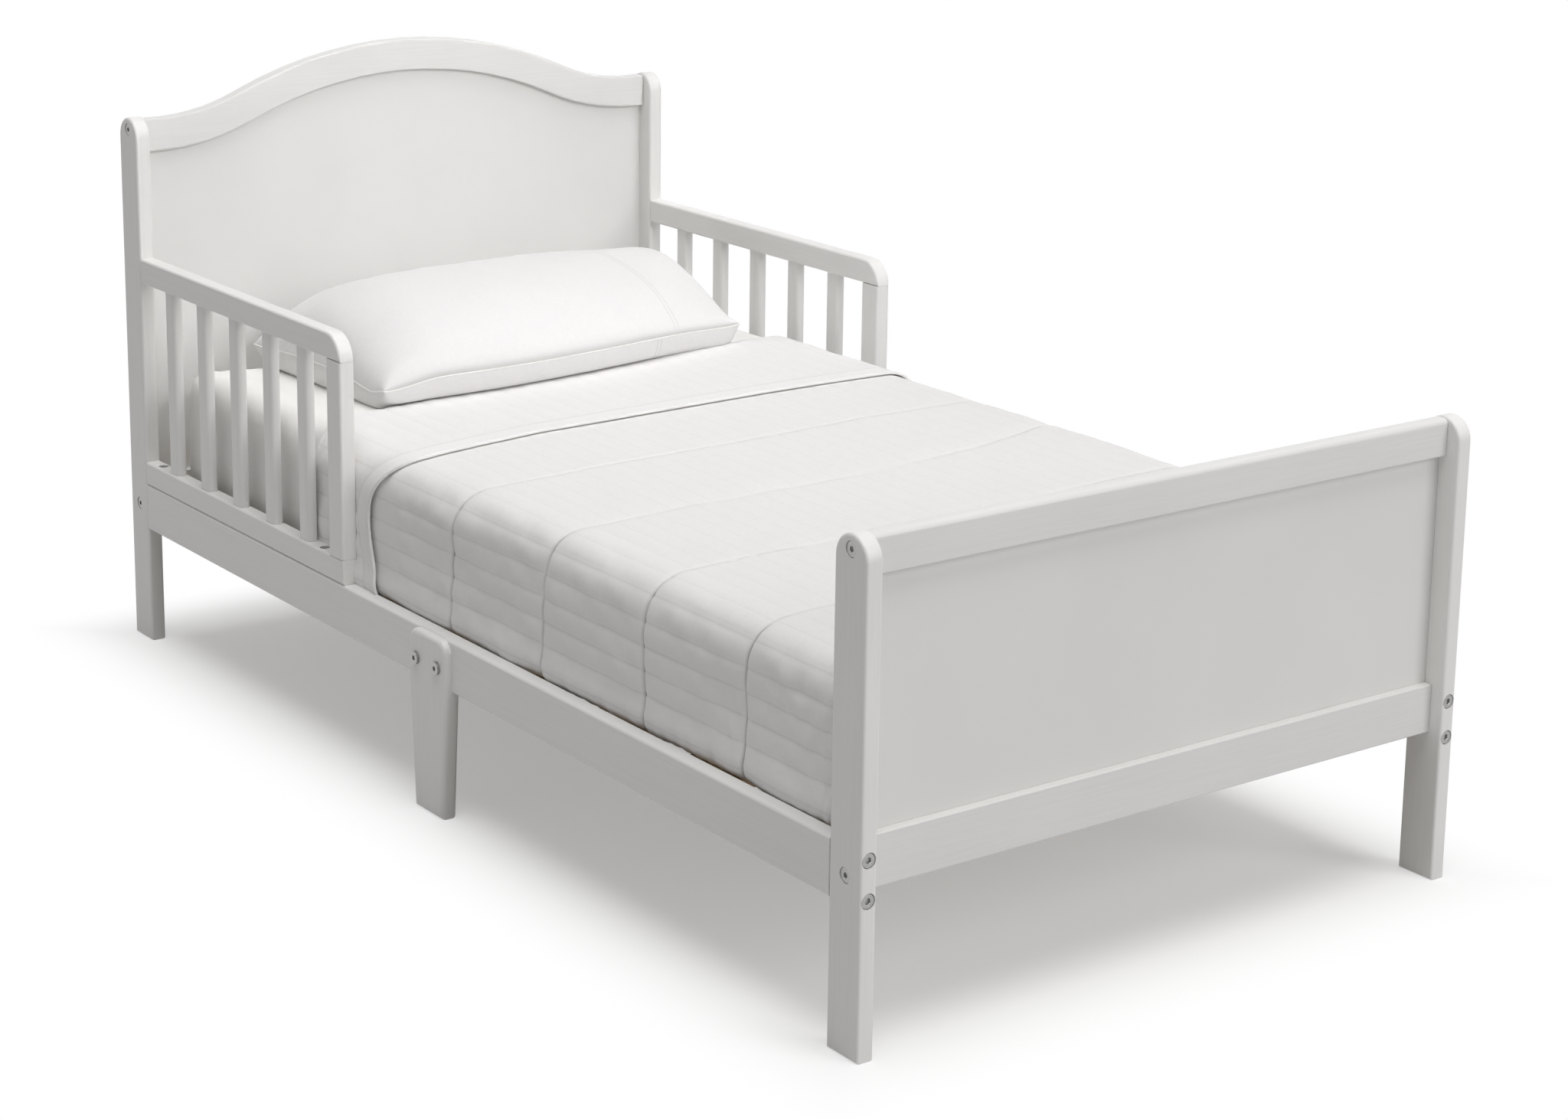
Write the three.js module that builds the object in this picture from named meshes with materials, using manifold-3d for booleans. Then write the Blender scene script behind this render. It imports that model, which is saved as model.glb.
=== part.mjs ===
// Toddler bed with an arched headboard, a low footboard, two guard rails and its bedding.
// Millimetres, +Z up. The floor is z = 0, x = 0 is the bed's middle, and the foot end is at -y.
import * as THREE from "three";
import { mergeVertices } from "three/addons/utils/BufferGeometryUtils.js";
import Module from "manifold-3d";

const wasm = await Module();
wasm.setup();

// ---- driving dimensions ---------------------------------------------------------------------

const fit = 0.25;                 // gap left in every glued or bolted seam
const bedWidth = 735;             // over the outside faces of the posts
const bedLength = 1430;           // over the posts, foot to head

const postThick = 18;             // across the bed
const postDepth = 44.5;           // along the bed
const headPostHeight = 631;
const footPostHeight = 470;
const postEdge = 3;               // round-over on the faces of a post

const railThick = 18;
const railHeight = 55;
const railBottom = 139;
const railEdge = 3;

const boardThick = 18;            // crown, top rail and lower rails of the two ends
const boardSetback = 15;          // foot-facing face of a board behind that of its posts
const boardEdge = 1.5;
const lowerRailRise = 12;         // bottom of a lower rail above the bottom of the side rails
const lowerRailHeight = 49.5;
const footTopHeight = 37;
const footTopDrop = 1.5;          // top of the foot's top rail below the tip of the post
const footTopEdge = 6;            // along its top, which hands rest on

const panelThick = 6;
const panelSetback = 9;           // face of a panel behind the face of its boards
const grooveDepth = 7;            // how far a panel reaches into boards and posts

const crownBand = 38.5;           // width of the arched band
const crownRise = 71;             // middle of the arch above its shoulders
const crownDrop = 3;              // shoulders below the tip of the post
const crownShoulder = 19;         // level stretch beside each post
const archShare = 0.682;          // share of the two radii that belongs to the arch
const crownEdge = 2.5;

const guardLength = 481;          // from the head post to the front of the guard
const guardHeight = 273;          // above the side rail
const guardFootHeight = 27.5;     // bottom rail of the guard
const guardTopHeight = 29;
const guardEdge = 3;
const guardPostWidth = 30.5;
const guardSlatWidth = 24;
const guardSlatThick = 12;
const guardSlatEdge = 5;
const guardSlatCount = 5;
const guardFirstGap = 56;         // head post to the first slat
const guardLastGap = 50.5;        // last slat to the guard's own post
const mortiseDepth = 8;

const legTopWidth = 74;
const legFootWidth = 55.5;
const legThick = 18;
const legLetIn = 10;              // depth of the leg's seat in the side rails
const legCorner = 14;
const legEdge = 5;
const legTopGap = 0.5;            // top of the leg under the top of the rail

const cleatWidth = 20;
const cleatHeight = 22;
const cleatEdge = 1.5;
const cleatEndGap = 12;
const deckSlatThick = 12;
const deckSlatWidth = 80;
const deckSlatEdge = 2;
const deckSlatCount = 9;
const deckEndGap = 30;            // first and last slat from the end boards
const deckSideGap = 2;
const deckDrop = 8;               // top of the slats, under the top of the side rails

const mattressThick = 152;
const mattressCorner = 62;        // in plan
const mattressEdge = 46;          // along its top, under the sheet and the quilt
const mattressSideGap = 7.5;      // to the side rails
const mattressFootGap = 5;        // to the foot's lower rail, where the quilt is tucked
const mattressHeadGap = 42;       // to the head's lower rail

const quiltThick = 4;
const quiltFoldPlace = 323.5;     // the fold, from the head end of the mattress
const turnBack = 150;             // length of quilt that is turned back over itself
const quiltHemGap = 2;            // tucked hem above the slats
const layGap = 0.3;               // between soft pieces that lie on each other

const pillowWidth = 500;
const pillowDepth = 338;
const pillowThick = 102;
const pillowPlace = 172;          // its middle, from the head end of the mattress
const pillowShift = -5;           // its middle, off the bed's middle
const pillowTurn = 3;             // degrees, its right end nearer the headboard
const pillowSeamHeight = 0.38;    // share of the thickness under the seam
const pillowSquareness = 6;

const boltHead = 14;
const boltHeadThick = 3;
const boltShank = 6;
const boltReach = 32;             // into the rail behind the post
const boltSeat = 15;              // counterbore for a bolt head
const boltInset = 1;              // head under the face of the post
const boltHole = 7;
const boltHoleSpare = 2;          // hole past the end of the bolt
const boltSocket = 5;             // across the flats of the hexagon
const boltSocketDepth = 2;
const boltFromTip = 14;           // upper bolt below the tip of its post
const boltFromEdge = 9;           // paired bolts from the edges of the side rail
const legBoltPitch = 41.5;
const legBoltRise = 24;           // above the bottom of the side rails
const legBoltShort = 2;           // bolt ends this far inside the rail
const guardScrew = 12;            // counterbore in the guard's bottom rail
const guardScrewDepth = 10;

// ---- places that follow from them -----------------------------------------------------------

const halfWidth = bedWidth / 2;
const halfLength = bedLength / 2;
const innerHalf = halfWidth - postThick;
const postFace = halfLength - postDepth;          // inner faces of the posts
const railTop = railBottom + railHeight;
const railCentreX = halfWidth - railThick / 2;
const railMiddle = railBottom + railHeight / 2;
const footBoardFront = -halfLength + boardSetback;
const headBoardFront = postFace + boardSetback;
const footBoardBack = footBoardFront + boardThick;
const lowerRailBottom = railBottom + lowerRailRise;
const lowerRailTop = lowerRailBottom + lowerRailHeight;
const boardHalf = innerHalf - fit;                // boards between the posts
const crownShoulderTop = headPostHeight - crownDrop;
const guardStart = postFace - fit;
const guardFront = postFace - guardLength;
const guardFootTop = railTop + fit + guardFootHeight;
const guardTop = railTop + fit + guardHeight;
const guardTopBottom = guardTop - guardTopHeight;
const deckTop = railTop - deckDrop;
const cleatTop = deckTop - deckSlatThick - fit;
const roundSides = 20;            // sides of a round hole or bolt head
const shankSides = 10;            // sides of a bolt's shank and of its hole
const cornerPieces = 2;           // half the straight runs in a quarter circle
const archPieces = 7;             // half the straight runs in each arc of the crown

// ---- materials ------------------------------------------------------------------------------

const makeMaterial = (color, roughness, metalness = 0) =>
  new THREE.MeshStandardMaterial({ color, roughness, metalness });
const whitePaint = () => makeMaterial(0xf1f0ee, 0.42);
const bareWood = () => makeMaterial(0xd8c19a, 0.75);
const zinc = () => makeMaterial(0xb9b8b4, 0.35, 0.9);
const sheeting = () => makeMaterial(0xf4f2ef, 0.9);
const quilting = () => makeMaterial(0xefedea, 0.92);

// ---- shapes ---------------------------------------------------------------------------------

function toSolid(geometry) {
  const bare = geometry.clone();
  bare.deleteAttribute("normal");
  bare.deleteAttribute("uv");
  const merged = mergeVertices(bare, 1e-4);
  const vertProperties = merged.attributes.position.array;
  const triVerts = new Uint32Array(merged.index.array);
  return new wasm.Manifold(new wasm.Mesh({ numProp: 3, vertProperties, triVerts }));
}

function toGeometry(solid) {
  const mesh = solid.getMesh();
  const positions = new THREE.BufferAttribute(mesh.vertProperties, 3);
  const indices = new THREE.BufferAttribute(mesh.triVerts, 1);
  const geometry = new THREE.BufferGeometry().setAttribute("position", positions).setIndex(indices);
  geometry.computeVertexNormals();
  return geometry;
}

function cut(geometry, ...tools) {
  return toGeometry(tools.reduce((solid, tool) => solid.subtract(toSolid(tool)), toSolid(geometry)));
}

function join(geometry, ...others) {
  return toGeometry(others.reduce((solid, other) => solid.add(toSolid(other)), toSolid(geometry)));
}

const alongX = new THREE.Matrix4().set(0, 0, 1, 0, 1, 0, 0, 0, 0, 1, 0, 0, 0, 0, 0, 1);
const alongY = new THREE.Matrix4().set(1, 0, 0, 0, 0, 0, -1, 0, 0, 1, 0, 0, 0, 0, 0, 1);

// A slab of the given outline and thickness, centred on its own plane, with its rim rounded over by edge.
function slab(outline, thick, edge = 0, steps = 3, arcPieces = cornerPieces) {
  const points = outline.getPoints(arcPieces);
  const next = (i) => points[(i + 1) % points.length];
  const distinct = points.filter((point, i) => point.distanceTo(next(i)) > 1e-3);
  const geometry = new THREE.ExtrudeGeometry(new THREE.Shape(distinct), {
    depth: thick - 2 * edge,
    bevelEnabled: edge > 0,
    bevelThickness: edge,
    bevelSize: edge,
    bevelOffset: -edge,
    bevelSegments: steps,
  });
  return geometry.translate(0, 0, edge - thick / 2);
}

// A rectangle with the given half sizes and rounded corners. The lower two may differ.
function roundedRectangle(halfA, halfB, corner, lowCorner = corner) {
  const shape = new THREE.Shape();
  const quarter = Math.PI / 2;
  const [a, b] = [halfA - corner, halfB - corner];
  const [lowA, lowB] = [halfA - lowCorner, halfB - lowCorner];
  shape.absarc(a, b, corner, 0, quarter);
  shape.absarc(-a, b, corner, quarter, 2 * quarter);
  shape.absarc(-lowA, -lowB, lowCorner, 2 * quarter, 3 * quarter);
  shape.absarc(lowA, -lowB, lowCorner, 3 * quarter, 4 * quarter);
  shape.closePath();
  return shape;
}

// A straight stick along Y with rounded long edges: x and z are its middle, from y0 to y1.
function stickAlongY(width, height, edge, x, z, y0, y1) {
  const section = roundedRectangle(width / 2, height / 2, edge);
  const stick = slab(section, y1 - y0).applyMatrix4(alongY);
  return stick.translate(x, (y0 + y1) / 2, z);
}

// The same along X, from x0 to x1.
function stickAlongX(width, height, edge, y, z, x0, x1, lowEdge = edge) {
  const section = roundedRectangle(width / 2, height / 2, edge, lowEdge);
  const stick = slab(section, x1 - x0).applyMatrix4(alongX);
  return stick.translate((x0 + x1) / 2, y, z);
}

// The same along Z, from z0 to z1.
function stickAlongZ(width, depth, edge, x, y, z0, z1) {
  const section = roundedRectangle(width / 2, depth / 2, edge);
  return slab(section, z1 - z0).translate(x, y, (z0 + z1) / 2);
}

function box(x0, x1, y0, y1, z0, z1) {
  const block = new THREE.BoxGeometry(x1 - x0, y1 - y0, z1 - z0);
  return block.translate((x0 + x1) / 2, (y0 + y1) / 2, (z0 + z1) / 2);
}

// A round hole or pin from one point to another.
function rod(diameter, from, to, sides = roundSides) {
  const start = new THREE.Vector3(...from);
  const way = new THREE.Vector3(...to).sub(start);
  const length = way.length();
  const turn = new THREE.Quaternion().setFromUnitVectors(new THREE.Vector3(0, 1, 0), way.normalize());
  const cylinder = new THREE.CylinderGeometry(diameter / 2, diameter / 2, length, sides);
  const middle = start.clone().addScaledVector(way, length / 2);
  return cylinder.applyQuaternion(turn).translate(middle.x, middle.y, middle.z);
}

const along = (point, way, distance) => point.map((value, i) => value + way[i] * distance);

// A counterbored bolt hole: mouth is on the surface, way points into the wood.
function boltBore(mouth, way, depth) {
  const seat = rod(boltSeat, along(mouth, way, -1), along(mouth, way, boltInset + boltHeadThick + fit));
  return [seat, boltHoleFrom(mouth, way, depth)];
}

function boltHoleFrom(mouth, way, depth) {
  return rod(boltHole, along(mouth, way, -1), along(mouth, way, depth), shankSides);
}

function piece(name, geometry, material) {
  const mesh = new THREE.Mesh(geometry, material);
  mesh.name = name;
  return mesh;
}

const bed = new THREE.Group();
const sides = [["left", -1], ["right", 1]];

// ---- bolts ----------------------------------------------------------------------------------

// Bolt with a flat round head and a hexagon socket: top is the middle of its head's outer face.
function bolt(name, top, way, length) {
  const head = rod(boltHead, top, along(top, way, boltHeadThick));
  const shank = rod(boltShank, along(top, way, boltHeadThick / 2), along(top, way, length), shankSides);
  const socketWidth = boltSocket / Math.cos(Math.PI / 6);
  const socket = rod(socketWidth, along(top, way, -1), along(top, way, boltSocketDepth), 6);
  return piece(name, cut(join(head, shank), socket), zinc());
}

// ---- posts ----------------------------------------------------------------------------------

const pairHeights = [railTop - boltFromEdge, railBottom + boltFromEdge];

// Flat board on edge with a full round top, bored for its bolts. end is -1 at the foot and 1 at the head.
function post(name, side, end, height, panel) {
  const radius = postDepth / 2;
  const outline = new THREE.Shape();
  outline.moveTo(-radius, 0);
  outline.lineTo(radius, 0);
  outline.lineTo(radius, height - radius);
  outline.absarc(0, height - radius, radius, 0, Math.PI);
  outline.closePath();
  const x = side * (halfWidth - postThick / 2);
  const y = end * (halfLength - radius);
  const board = slab(outline, postThick, postEdge, 3, 7).applyMatrix4(alongX).translate(x, y, 0);
  const sideMouths = [height - boltFromTip, railMiddle].map((z) => [side * halfWidth, y, z]);
  const endMouths = pairHeights.map((z) => [side * railCentreX, end * halfLength, z]);
  const bores = [
    ...sideMouths.flatMap((mouth) => boltBore(mouth, [-side, 0, 0], postThick + 1)),
    ...endMouths.flatMap((mouth) => boltBore(mouth, [0, -end, 0], postDepth + 1)),
  ];
  return piece(name, cut(board, panel, ...bores), whitePaint());
}

// The two bolts that hold a post to the boards of its end.
function postBolts(end, height) {
  const y = end * (halfLength - postDepth / 2);
  const places = [["upper", height - boltFromTip], ["lower", railMiddle]];
  const label = end > 0 ? "head" : "foot";
  return sides.flatMap(([sideLabel, side]) => places.map(([place, z]) =>
    bolt(`${label}_bolt_${place}_${sideLabel}`, [side * (halfWidth - boltInset), y, z], [-side, 0, 0],
      postThick + boltReach)));
}

// ---- end panels -----------------------------------------------------------------------------

const panelHalf = innerHalf + grooveDepth;
const panelFoot = lowerRailTop - grooveDepth;
const crownRun = innerHalf - crownShoulder;
const radiusSum = (crownRun ** 2 + crownRise ** 2) / (2 * crownRise);
const crownAngle = Math.asin(crownRun / radiusSum);
const archRadius = archShare * radiusSum;
const shoulderRadius = radiusSum - archRadius;
const archCentre = crownShoulderTop + crownRise - archRadius;
const shoulderCentre = crownShoulderTop + shoulderRadius;

// Points along the arch from the right shoulder to the left one, a given depth under its top edge.
function archPoints(depth, half) {
  const down = -Math.PI / 2;
  const shoulder = shoulderRadius + depth;
  const path = new THREE.Path();
  path.moveTo(half, crownShoulderTop - depth);
  path.lineTo(crownRun, crownShoulderTop - depth);
  path.absarc(crownRun, shoulderCentre, shoulder, down, down - crownAngle, true);
  path.absarc(0, archCentre, archRadius - depth, -down - crownAngle, -down + crownAngle);
  path.absarc(-crownRun, shoulderCentre, shoulder, down + crownAngle, down, true);
  path.lineTo(-half, crownShoulderTop - depth);
  return path.getPoints(archPieces);
}

function headPanelOutline(grow) {
  const half = panelHalf + grow;
  const foot = [-half, half].map((x) => new THREE.Vector2(x, panelFoot - grow));
  return new THREE.Shape([...foot, ...archPoints(crownBand - grooveDepth - grow, half)]);
}

function footPanelOutline(grow) {
  const half = panelHalf + grow;
  const top = footPostHeight - footTopDrop - footTopHeight + grooveDepth + grow;
  const outline = new THREE.Shape();
  outline.moveTo(-half, panelFoot - grow);
  outline.lineTo(half, panelFoot - grow);
  outline.lineTo(half, top);
  outline.lineTo(-half, top);
  outline.closePath();
  return outline;
}

// grow is 0 for the panel itself and fit for the groove that holds it.
function panel(outlineOf, boardFront, grow) {
  const y = boardFront + panelSetback + panelThick / 2;
  return slab(outlineOf(grow), panelThick + 2 * grow).applyMatrix4(alongY).translate(0, y, 0);
}

function crownBoard() {
  const lower = archPoints(crownBand, boardHalf).reverse();
  const outline = new THREE.Shape([...lower, ...archPoints(0, boardHalf)]);
  const y = headBoardFront + boardThick / 2;
  return slab(outline, boardThick, crownEdge, 2).applyMatrix4(alongY).translate(0, y, 0);
}

function lowerRail(boardFront) {
  const y = boardFront + boardThick / 2;
  const z = lowerRailBottom + lowerRailHeight / 2;
  return stickAlongX(boardThick, lowerRailHeight, boardEdge, y, z, -boardHalf, boardHalf);
}

// Bolt holes in both ends of a board, in line with those of its posts.
function endBores(end, z) {
  const y = end * (halfLength - postDepth / 2);
  return sides.map(([, side]) =>
    boltHoleFrom([side * innerHalf, y, z], [-side, 0, 0], boltReach + boltHoleSpare));
}

function headboard() {
  const group = new THREE.Group();
  const groove = panel(headPanelOutline, headBoardFront, fit);
  const crown = cut(crownBoard(), groove, ...endBores(1, headPostHeight - boltFromTip));
  const lower = cut(lowerRail(headBoardFront), groove, ...endBores(1, railMiddle));
  group.add(piece("crown_rail", crown, whitePaint()));
  group.add(piece("head_panel", panel(headPanelOutline, headBoardFront, 0), whitePaint()));
  group.add(piece("head_lower_rail", lower, whitePaint()));
  for (const [label, side] of sides) {
    group.add(post(`head_post_${label}`, side, 1, headPostHeight, groove));
  }
  group.add(...postBolts(1, headPostHeight));
  return group;
}

function footboard() {
  const group = new THREE.Group();
  const groove = panel(footPanelOutline, footBoardFront, fit);
  const topMiddle = footPostHeight - footTopDrop - footTopHeight / 2;
  const y = footBoardFront + boardThick / 2;
  const rail = stickAlongX(boardThick, footTopHeight, footTopEdge, y, topMiddle, -boardHalf, boardHalf,
    boardEdge);
  const top = cut(rail, groove, ...endBores(-1, footPostHeight - boltFromTip));
  const lower = cut(lowerRail(footBoardFront), groove, ...endBores(-1, railMiddle));
  group.add(piece("foot_top_rail", top, whitePaint()));
  group.add(piece("foot_panel", panel(footPanelOutline, footBoardFront, 0), whitePaint()));
  group.add(piece("foot_bottom_rail", lower, whitePaint()));
  for (const [label, side] of sides) {
    group.add(post(`foot_post_${label}`, side, -1, footPostHeight, groove));
  }
  group.add(...postBolts(-1, footPostHeight));
  return group;
}

// ---- side rails and middle legs -------------------------------------------------------------

const legTop = railTop - legTopGap;
const legOut = halfWidth - legLetIn + legThick;   // outer face of a leg from the bed's middle
const legX = legOut - legThick / 2;

// Tapered board with large rounded top corners; grow is fit for its seat in the rails.
function legBoard(side, grow) {
  const half = legTopWidth / 2 + grow;
  const foot = legFootWidth / 2 + grow;
  const top = legTop + grow;
  const corner = legCorner + grow;
  const outline = new THREE.Shape();
  outline.moveTo(-foot, 0);
  outline.lineTo(foot, 0);
  outline.lineTo(half, railBottom);
  outline.absarc(half - corner, top - corner, corner, 0, Math.PI / 2);
  outline.absarc(corner - half, top - corner, corner, Math.PI / 2, Math.PI);
  outline.lineTo(-half, railBottom);
  outline.closePath();
  const thick = legThick + 2 * grow;
  const edge = grow ? 0 : legEdge;
  return slab(outline, thick, edge, 3, 3).applyMatrix4(alongX).translate(side * legX, 0, 0);
}

// Where the two bolts of a leg go in: towards the head and towards the foot.
const legMouths = (side) => [["head", 1], ["foot", -1]].map(([label, end]) =>
  [label, [side * legOut, (end * legBoltPitch) / 2, railBottom + legBoltRise]]);

function leg(label, side) {
  const group = new THREE.Group();
  const inwards = [-side, 0, 0];
  const holes = legMouths(side).map(([, mouth]) => boltHoleFrom(mouth, inwards, legThick + 1));
  group.add(piece(`middle_leg_${label}`, cut(legBoard(side, 0), ...holes), whitePaint()));
  const headTop = boltHeadThick + fit;
  const length = headTop + legThick - legLetIn + railThick - legBoltShort;
  for (const [end, mouth] of legMouths(side)) {
    group.add(bolt(`leg_bolt_${end}_${label}`, along(mouth, inwards, -headTop), inwards, length));
  }
  return group;
}

// One half of a side rail: end is 1 for the head half and -1 for the foot half.
function sideRail(name, side, end) {
  const near = end * (fit / 2);
  const far = end * (postFace - fit);
  const y0 = Math.min(near, far);
  const y1 = Math.max(near, far);
  const stick = stickAlongY(railThick, railHeight, railEdge, side * railCentreX, railMiddle, y0, y1);
  const pairHoles = pairHeights.map((z) =>
    boltHoleFrom([side * railCentreX, end * postFace, z], [0, -end, 0], boltReach + boltHoleSpare));
  const legHoles = legMouths(side).map(([, mouth]) => boltHoleFrom(mouth, [-side, 0, 0], 2 * railThick));
  return piece(name, cut(stick, legBoard(side, fit), ...pairHoles, ...legHoles), whitePaint());
}

function cleat(name, side, end) {
  const x = side * (halfWidth - railThick - fit - cleatWidth / 2);
  const y0 = legTopWidth / 2;
  const y1 = postFace - cleatEndGap;
  const low = end > 0 ? y0 : -y1;
  const high = end > 0 ? y1 : -y0;
  const z = cleatTop - cleatHeight / 2;
  return piece(name, stickAlongY(cleatWidth, cleatHeight, cleatEdge, x, z, low, high), bareWood());
}

// ---- guard rails ----------------------------------------------------------------------------

function guard(label, side) {
  const group = new THREE.Group();
  const x = side * railCentreX;
  const slatsRun = guardLength - guardPostWidth - guardFirstGap - guardLastGap - guardSlatWidth;
  const pitch = slatsRun / (guardSlatCount - 1);
  const slatY = (i) => postFace - guardFirstGap - guardSlatWidth / 2 - i * pitch;
  const slat = (i, grow) => stickAlongZ(guardSlatThick + 2 * grow, guardSlatWidth + 2 * grow,
    guardSlatEdge + grow, x, slatY(i), guardFootTop - mortiseDepth - grow,
    guardTopBottom + mortiseDepth + grow);
  const all = Array.from({ length: guardSlatCount }, (_, i) => i);
  const mortises = all.map((i) => slat(i, fit));
  const frontGap = guardFront + guardPostWidth + guardLastGap / 2;
  const headGap = postFace - guardFirstGap / 2;
  const screwHoles = [headGap, frontGap].map((y) =>
    rod(guardScrew, [x, y, guardFootTop - guardScrewDepth], [x, y, guardFootTop + 1]));
  const foot = stickAlongY(railThick, guardFootHeight, guardEdge, x, railTop + fit + guardFootHeight / 2,
    guardFront, guardStart);
  group.add(piece(`guard_bottom_rail_${label}`, cut(foot, ...mortises, ...screwHoles), whitePaint()));
  const outline = new THREE.Shape();
  outline.moveTo(guardStart, guardTopBottom);
  outline.lineTo(guardStart, guardTop);
  outline.lineTo(guardFront + guardTopHeight, guardTop);
  outline.absarc(guardFront + guardTopHeight, guardTopBottom, guardTopHeight, Math.PI / 2, Math.PI);
  outline.closePath();
  const bar = slab(outline, railThick, guardEdge, 3, 4).applyMatrix4(alongX).translate(x, 0, 0);
  group.add(piece(`guard_top_rail_${label}`, cut(bar, ...mortises), whitePaint()));
  const front = stickAlongZ(railThick, guardPostWidth, guardEdge, x, guardFront + guardPostWidth / 2,
    guardFootTop + fit, guardTopBottom - fit);
  group.add(piece(`guard_post_${label}`, front, whitePaint()));
  for (const i of all) {
    group.add(piece(`guard_slat_${label}_${i + 1}`, slat(i, 0), whitePaint()));
  }
  return group;
}

// ---- slatted base ---------------------------------------------------------------------------

function slattedBase() {
  const group = new THREE.Group();
  const first = footBoardBack + deckEndGap + deckSlatWidth / 2;
  const last = headBoardFront - deckEndGap - deckSlatWidth / 2;
  const half = halfWidth - railThick - deckSideGap;
  const z = deckTop - deckSlatThick / 2;
  for (let i = 0; i < deckSlatCount; i += 1) {
    const y = first + ((last - first) * i) / (deckSlatCount - 1);
    const slat = stickAlongX(deckSlatWidth, deckSlatThick, deckSlatEdge, y, z, -half, half);
    group.add(piece(`base_slat_${i + 1}`, slat, bareWood()));
  }
  return group;
}

// ---- bedding --------------------------------------------------------------------------------

const mattressWidth = 2 * (innerHalf - mattressSideGap);
const mattressFoot = footBoardBack + mattressFootGap;
const mattressHead = headBoardFront - mattressHeadGap;
const mattressLength = mattressHead - mattressFoot;
const mattressMiddleY = (mattressFoot + mattressHead) / 2;
const quiltFold = mattressHead - quiltFoldPlace;
const mattressBottom = deckTop + layGap;
const mattressTop = mattressBottom + mattressThick;

// A block with the mattress's outline, grown by the given distance on its sides and top.
function mattressBlock(grow, bottom, edge) {
  const height = mattressTop + grow - bottom;
  const outline = roundedRectangle(mattressWidth / 2 + grow, mattressLength / 2 + grow,
    mattressCorner + grow);
  return slab(outline, height, edge, 4, 4).translate(0, mattressMiddleY, bottom + height / 2);
}

function mattress() {
  return piece("mattress", mattressBlock(0, mattressBottom, mattressEdge), sheeting());
}

// Covers the mattress's top, sides and foot, and is turned back over itself at the fold.
function quilt() {
  const farPast = 1000;
  const hem = deckTop + quiltHemGap;
  const under = layGap + quiltThick;
  const beyond = (y) => box(-farPast, farPast, y, y + 2 * farPast, 0, farPast);
  const behind = (y) => box(-farPast, farPast, y - 2 * farPast, y, 0, farPast);
  const below = box(-farPast, farPast, -farPast, farPast, -farPast, hem);
  const cover = cut(mattressBlock(under, 0, mattressEdge + under), beyond(quiltFold));
  const turned = cut(mattressBlock(under + quiltThick, 0, mattressEdge + under + quiltThick),
    beyond(quiltFold), behind(quiltFold - turnBack));
  const slimmer = [-1, 1].map((side) => {
    const inner = mattressWidth / 2 + under;
    return side > 0 ? box(inner, farPast, -farPast, farPast, 0, farPast)
      : box(-farPast, -inner, -farPast, farPast, 0, farPast);
  });
  const hollow = mattressBlock(layGap, 0, mattressEdge + layGap);
  return piece("quilt", cut(join(cover, cut(turned, ...slimmer)), hollow, below), quilting());
}

// A crowned cushion: nearly square in plan, fullest in the middle, flat where it lies.
function pillow() {
  const geometry = new THREE.SphereGeometry(1, 26, 12);
  const position = geometry.attributes.position;
  const low = mattressTop + layGap;
  const seam = low + pillowThick * pillowSeamHeight;
  for (let i = 0; i < position.count; i += 1) {
    const x = position.getX(i);
    const y = position.getY(i);
    const z = position.getZ(i);
    const flat = Math.hypot(x, z);
    const angle = Math.atan2(z, x);
    const corner = Math.abs(Math.cos(angle)) ** pillowSquareness
      + Math.abs(Math.sin(angle)) ** pillowSquareness;
    const reach = flat === 0 ? 0 : flat / corner ** (1 / pillowSquareness);
    const rise = y > 0 ? y * pillowThick * (1 - pillowSeamHeight)
      : Math.max(y * 1.25, -1) * pillowThick * pillowSeamHeight;
    position.setXYZ(i, (Math.cos(angle) * reach * pillowWidth) / 2,
      (-Math.sin(angle) * reach * pillowDepth) / 2, rise);
  }
  geometry.rotateZ((pillowTurn * Math.PI) / 180);
  geometry.translate(pillowShift, mattressHead - pillowPlace, seam);
  return piece("pillow", toGeometry(toSolid(geometry)), sheeting());
}

// ---- the whole bed --------------------------------------------------------------------------

bed.add(headboard());
bed.add(footboard());
for (const [label, side] of sides) {
  bed.add(sideRail(`side_rail_head_${label}`, side, 1));
  bed.add(sideRail(`side_rail_foot_${label}`, side, -1));
  bed.add(cleat(`slat_cleat_head_${label}`, side, 1));
  bed.add(cleat(`slat_cleat_foot_${label}`, side, -1));
  bed.add(leg(label, side));
  bed.add(guard(label, side));
}
bed.add(slattedBase());
bed.add(mattress());
bed.add(quilt());
bed.add(pillow());

export default bed;
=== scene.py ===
# %% [markdown]
# # A white toddler bed
#
# The frame of this bed is solid wood and thin board under white lacquer, and it comes
# from the CAD model as it is. What CAD can't give is made here: the skin of the lacquer,
# the cloth of the sheet, the stitched cover, the pillow, and a few small metal parts.
#
# The first cell loads the CAD model as a fixed frame. Everything is in metres, with +X to
# the right as seen from the foot of the bed, +Y towards the headboard and +Z up. The box
# of the whole frame is kept.

# %% Load the frame
import math

import bmesh
import bpy
import numpy as np
from mathutils import Matrix, Vector


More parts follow.
